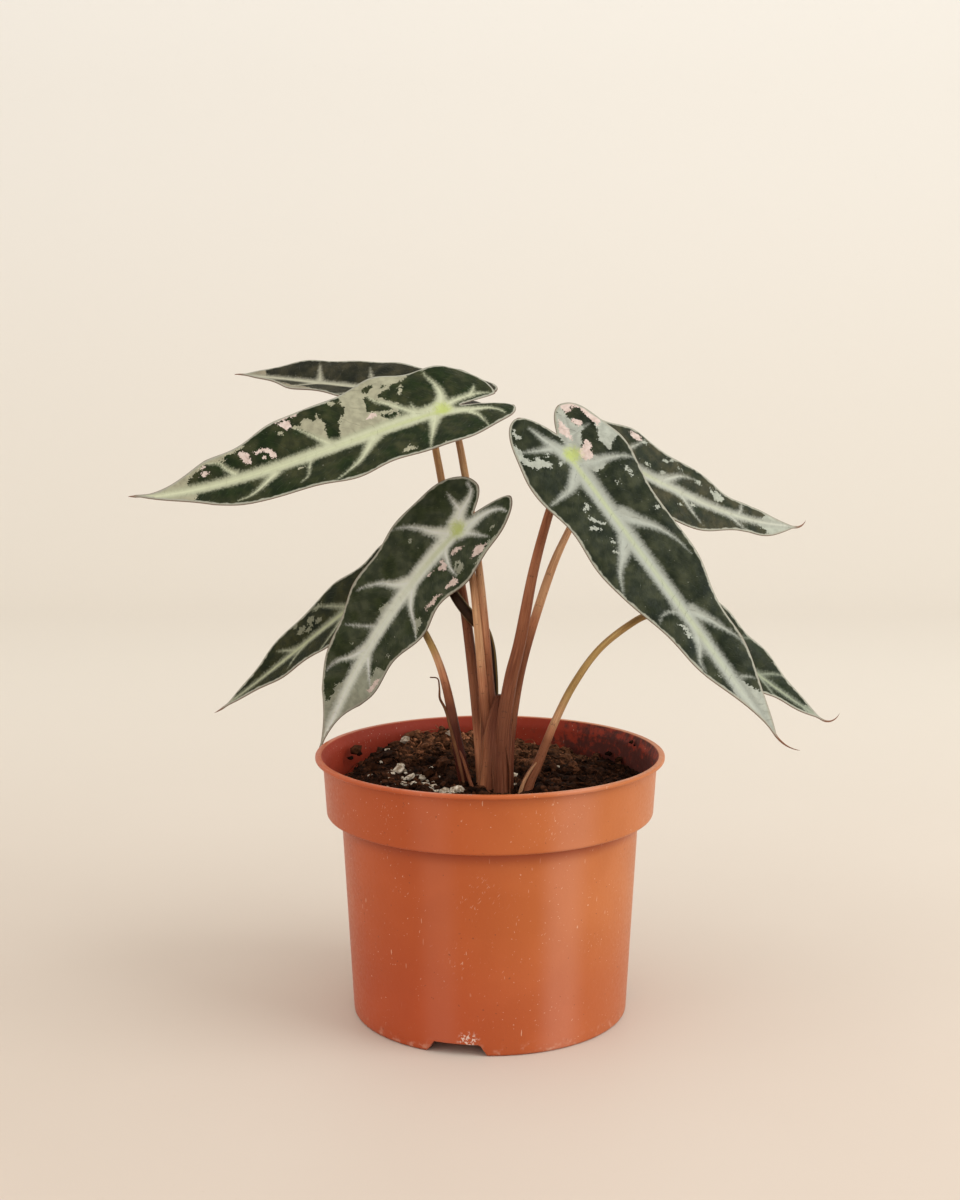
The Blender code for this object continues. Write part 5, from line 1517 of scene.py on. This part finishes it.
def make_fibres(finish):
    """Thin curved root fibres that lie on the soil: three-sided tubes along random arcs. At a share
    t of its length, a fibre has turned by its curl times t, and rises as sin(pi t)."""
    count, steps = FIBRES, FIBRE_STEPS
    draw = np.random.default_rng(FIBRE_SEED)
    x, y = disc_points(draw, count, SOIL_RADIUS - 7)
    t = np.linspace(0, 1, steps)
    heading = draw.uniform(0, 2 * np.pi, count)[:, None] + draw.uniform(-2.2, 2.2, (count, 1)) * t
    reach = draw.uniform(3, 10, (count, 1)) / (steps - 1)
    path_x = x[:, None] + np.cumsum(np.cos(heading), 1) * reach
    path_y = y[:, None] + np.cumsum(np.sin(heading), 1) * reach
    inside = np.minimum(1, (SOIL_RADIUS - 2.5) / np.hypot(path_x, path_y))
    path_x, path_y = path_x * inside, path_y * inside
    level = soil_height(x, y)[:, None] * 0.4 + soil_height(path_x, path_y) * 0.6
    path_z = level + draw.uniform(0.3, 2.2, (count, 1)) * np.sin(np.pi * t)
    radius = draw.uniform(0.10, 0.22, (count, 1)) * np.array([0.05] + [1] * (steps - 2) + [0.05])
    angle = circle(3)[:, None]
    side = np.stack([-np.sin(heading), np.cos(heading), 0 * heading], -1)[:, :, None, :]
    ring = np.cos(angle) * side + np.sin(angle) * np.array([0, 0, 1.0])
    points = np.stack([path_x, path_y, path_z], -1)[:, :, None, :] + radius[:, :, None, None] * ring
    first = (np.arange(count) * steps * 3)[:, None, None]
    shades = np.repeat(draw.uniform(0.3, 1, count)[:, None], steps * 3, 1)
    add_piece("root_fibres", points, grid_faces(steps, 3, True)[None] + first, [finish],
              {"shade": shades})


def make_perlite():
    """White expanded grains, most of them at the front left, with finer bits between."""
    nodes = Finish("perlite_white", 0.85, 0.2)
    place = nodes.object_place()
    colour = place.mottle(1.2, (0.66, 0.57, 0.45), (0.28, 0.20, 0.13))
    finish = nodes.done(colour, place.noise(2.0, 4.0, 0.6), 0.3)
    draw = np.random.default_rng(PERLITE_SEED)
    bits = np.stack([draw.normal(-24, 8, 55), draw.normal(-12, 9, 55), draw.uniform(0.35, 0.9, 55)])
    x, y, sizes = np.hstack([np.transpose(PERLITE), bits])
    kept = np.hypot(x, y) < SOIL_RADIUS - 2
    scattered("perlite_grains", on_soil(x, y, sizes, 0.1)[kept], sizes[kept], PERLITE_SEED + 1,
              finish)


def soil_finish():
    """Nearly black brown mix with lighter crumbs and fibres, each lump in its own shade. It has painted
    light on the heap at the back, which is paler, and painted shade that makes it dark elsewhere."""
    nodes = Finish("potting_mix", 0.95, 0.08)
    place = nodes.object_place()
    dark = place.mottle(1.5, (0.016, 0.007, 0.003), (0.075, 0.031, 0.014))
    brown = place.mottle(1.0, (0.11, 0.044, 0.020), (0.27, 0.115, 0.057))
    colour = dark.mix(nodes.stored("shade")[0].ease(0.3, 0.9), brown)
    x, y, _ = nodes.round_axis(place)
    # Painted light on the heap at the back, and painted shade elsewhere
    painted_heap_light = (place.noise(0.09, 3.0) * 50.0 + y).ease(30.0, 56.0) * abs(x).ease(42.0, 26.0)
    colour = colour.mix(1.0, nodes.mix(painted_heap_light, (0.38, 0.31, 0.26), (1.9, 1.8, 1.75)), "MULTIPLY")
    return nodes.done(colour, place.noise(1.6, 5.0, 0.7), 0.6)


# Studio

def make_sweep():
    """Pale floor that curves up into a wall: a profile of straight, quarter round and straight. Its
    colour has painted light: it is painted lighter at the back and towards the top."""
    nodes = Finish("studio_paper", 0.55, 0.15)
    place = nodes.object_place()
    _, y, z = nodes.parts(place)
    colour = place.mottle(220.0, (0.60, 0.50, 0.415), (0.62, 0.52, 0.435))
    # Painted light: lighter towards the back and up the wall
    colour = colour.mix(y.ease(-300.0, 700.0), (0.74, 0.675, 0.59))
    colour = colour.mix(z.ease(0.0, 700.0), (0.845, 0.815, 0.765))
    colour = colour.mix(place.specks(2.0, 0.76) * 0.12, (0.45, 0.35, 0.26))
    turn = np.linspace(0, np.pi / 2, 24)
    y = np.concatenate([[SWEEP_FRONT, SWEEP_BACK], SWEEP_BACK + SWEEP_BEND * np.sin(turn),
                        [SWEEP_BACK + SWEEP_BEND]])
    z = np.concatenate([[0, 0], SWEEP_BEND * (1 - np.cos(turn)), [SWEEP_TOP]])
    x = np.linspace(-SWEEP_SIDE, SWEEP_SIDE, 5)
    points = np.stack(np.broadcast_arrays(x, y[:, None], z[:, None]), -1).reshape(-1, 3)
    mesh = bpy.data.meshes.new("studio_sweep")
    mesh.from_pydata((points * MM + AXIS).tolist(), [], grid_faces(len(y), len(x)).tolist())
    mesh.materials.append(nodes.done(colour))
    mesh.shade_smooth()
    sweep = add_object("studio_sweep", mesh)


def add_light(name, place, target, size, power, colour):
    """A square soft light at a place, aimed at a target, both in millimetres round the axis."""
    data = bpy.data.lights.new(name, "AREA")
    data.size = size
    data.energy = power
    data.color = colour
    light = add_object(name, data)
    light.location = np.array(place) * MM + AXIS
    direction = Vector((np.array(target) - np.array(place)) * MM)
    light.rotation_euler = direction.to_track_quat("-Z", "Y").to_euler()


def make_camera():
    """The photo's viewpoint."""
    data = bpy.data.cameras.new("camera")
    data.lens = LENS
    data.shift_x = -FRAME_SHIFT
    camera = add_object("camera", data)
    camera.location = np.array([0, -CAMERA_DISTANCE, CAMERA_HEIGHT]) * MM + AXIS
    camera.rotation_euler = (radians(90 - CAMERA_TILT), 0, 0)
    bpy.context.scene.camera = camera


def make_studio():
    """Floor, a cool soft key from the right, a weak fill from the left, and a warm surround."""
    make_sweep()
    world = bpy.data.worlds.new("surround")
    world.use_nodes = True
    background = world.node_tree.nodes["Background"].inputs
    background["Color"].default_value = (1.0, 0.975, 0.94, 1)
    background["Strength"].default_value = 1.03
    bpy.context.scene.world = world
    add_light("key", (1064, -430, 803), (0, 0, 80), 0.9, 10.8, (0.93, 1.0, 1.03))
    add_light("fill", (-1100, -500, 900), (-100, 0, 0), 1.2, 1.8, (1.0, 0.97, 0.93))
    bpy.context.scene.view_settings.view_transform = "Standard"


def main():
    make_camera()
    make_studio()
    make_pot(pot_finish())
    earth = soil_finish()
    make_soil(earth)
    make_crumbs(earth)
    make_fibres(earth)
    make_perlite()
    make_stalks(stalk_finish())
    make_new_leaf()
    make_dried_sheath()
    lower = lower_finish()
    for leaf in LEAVES:
        make_blade(leaf, upper_finish(leaf), lower)


main()
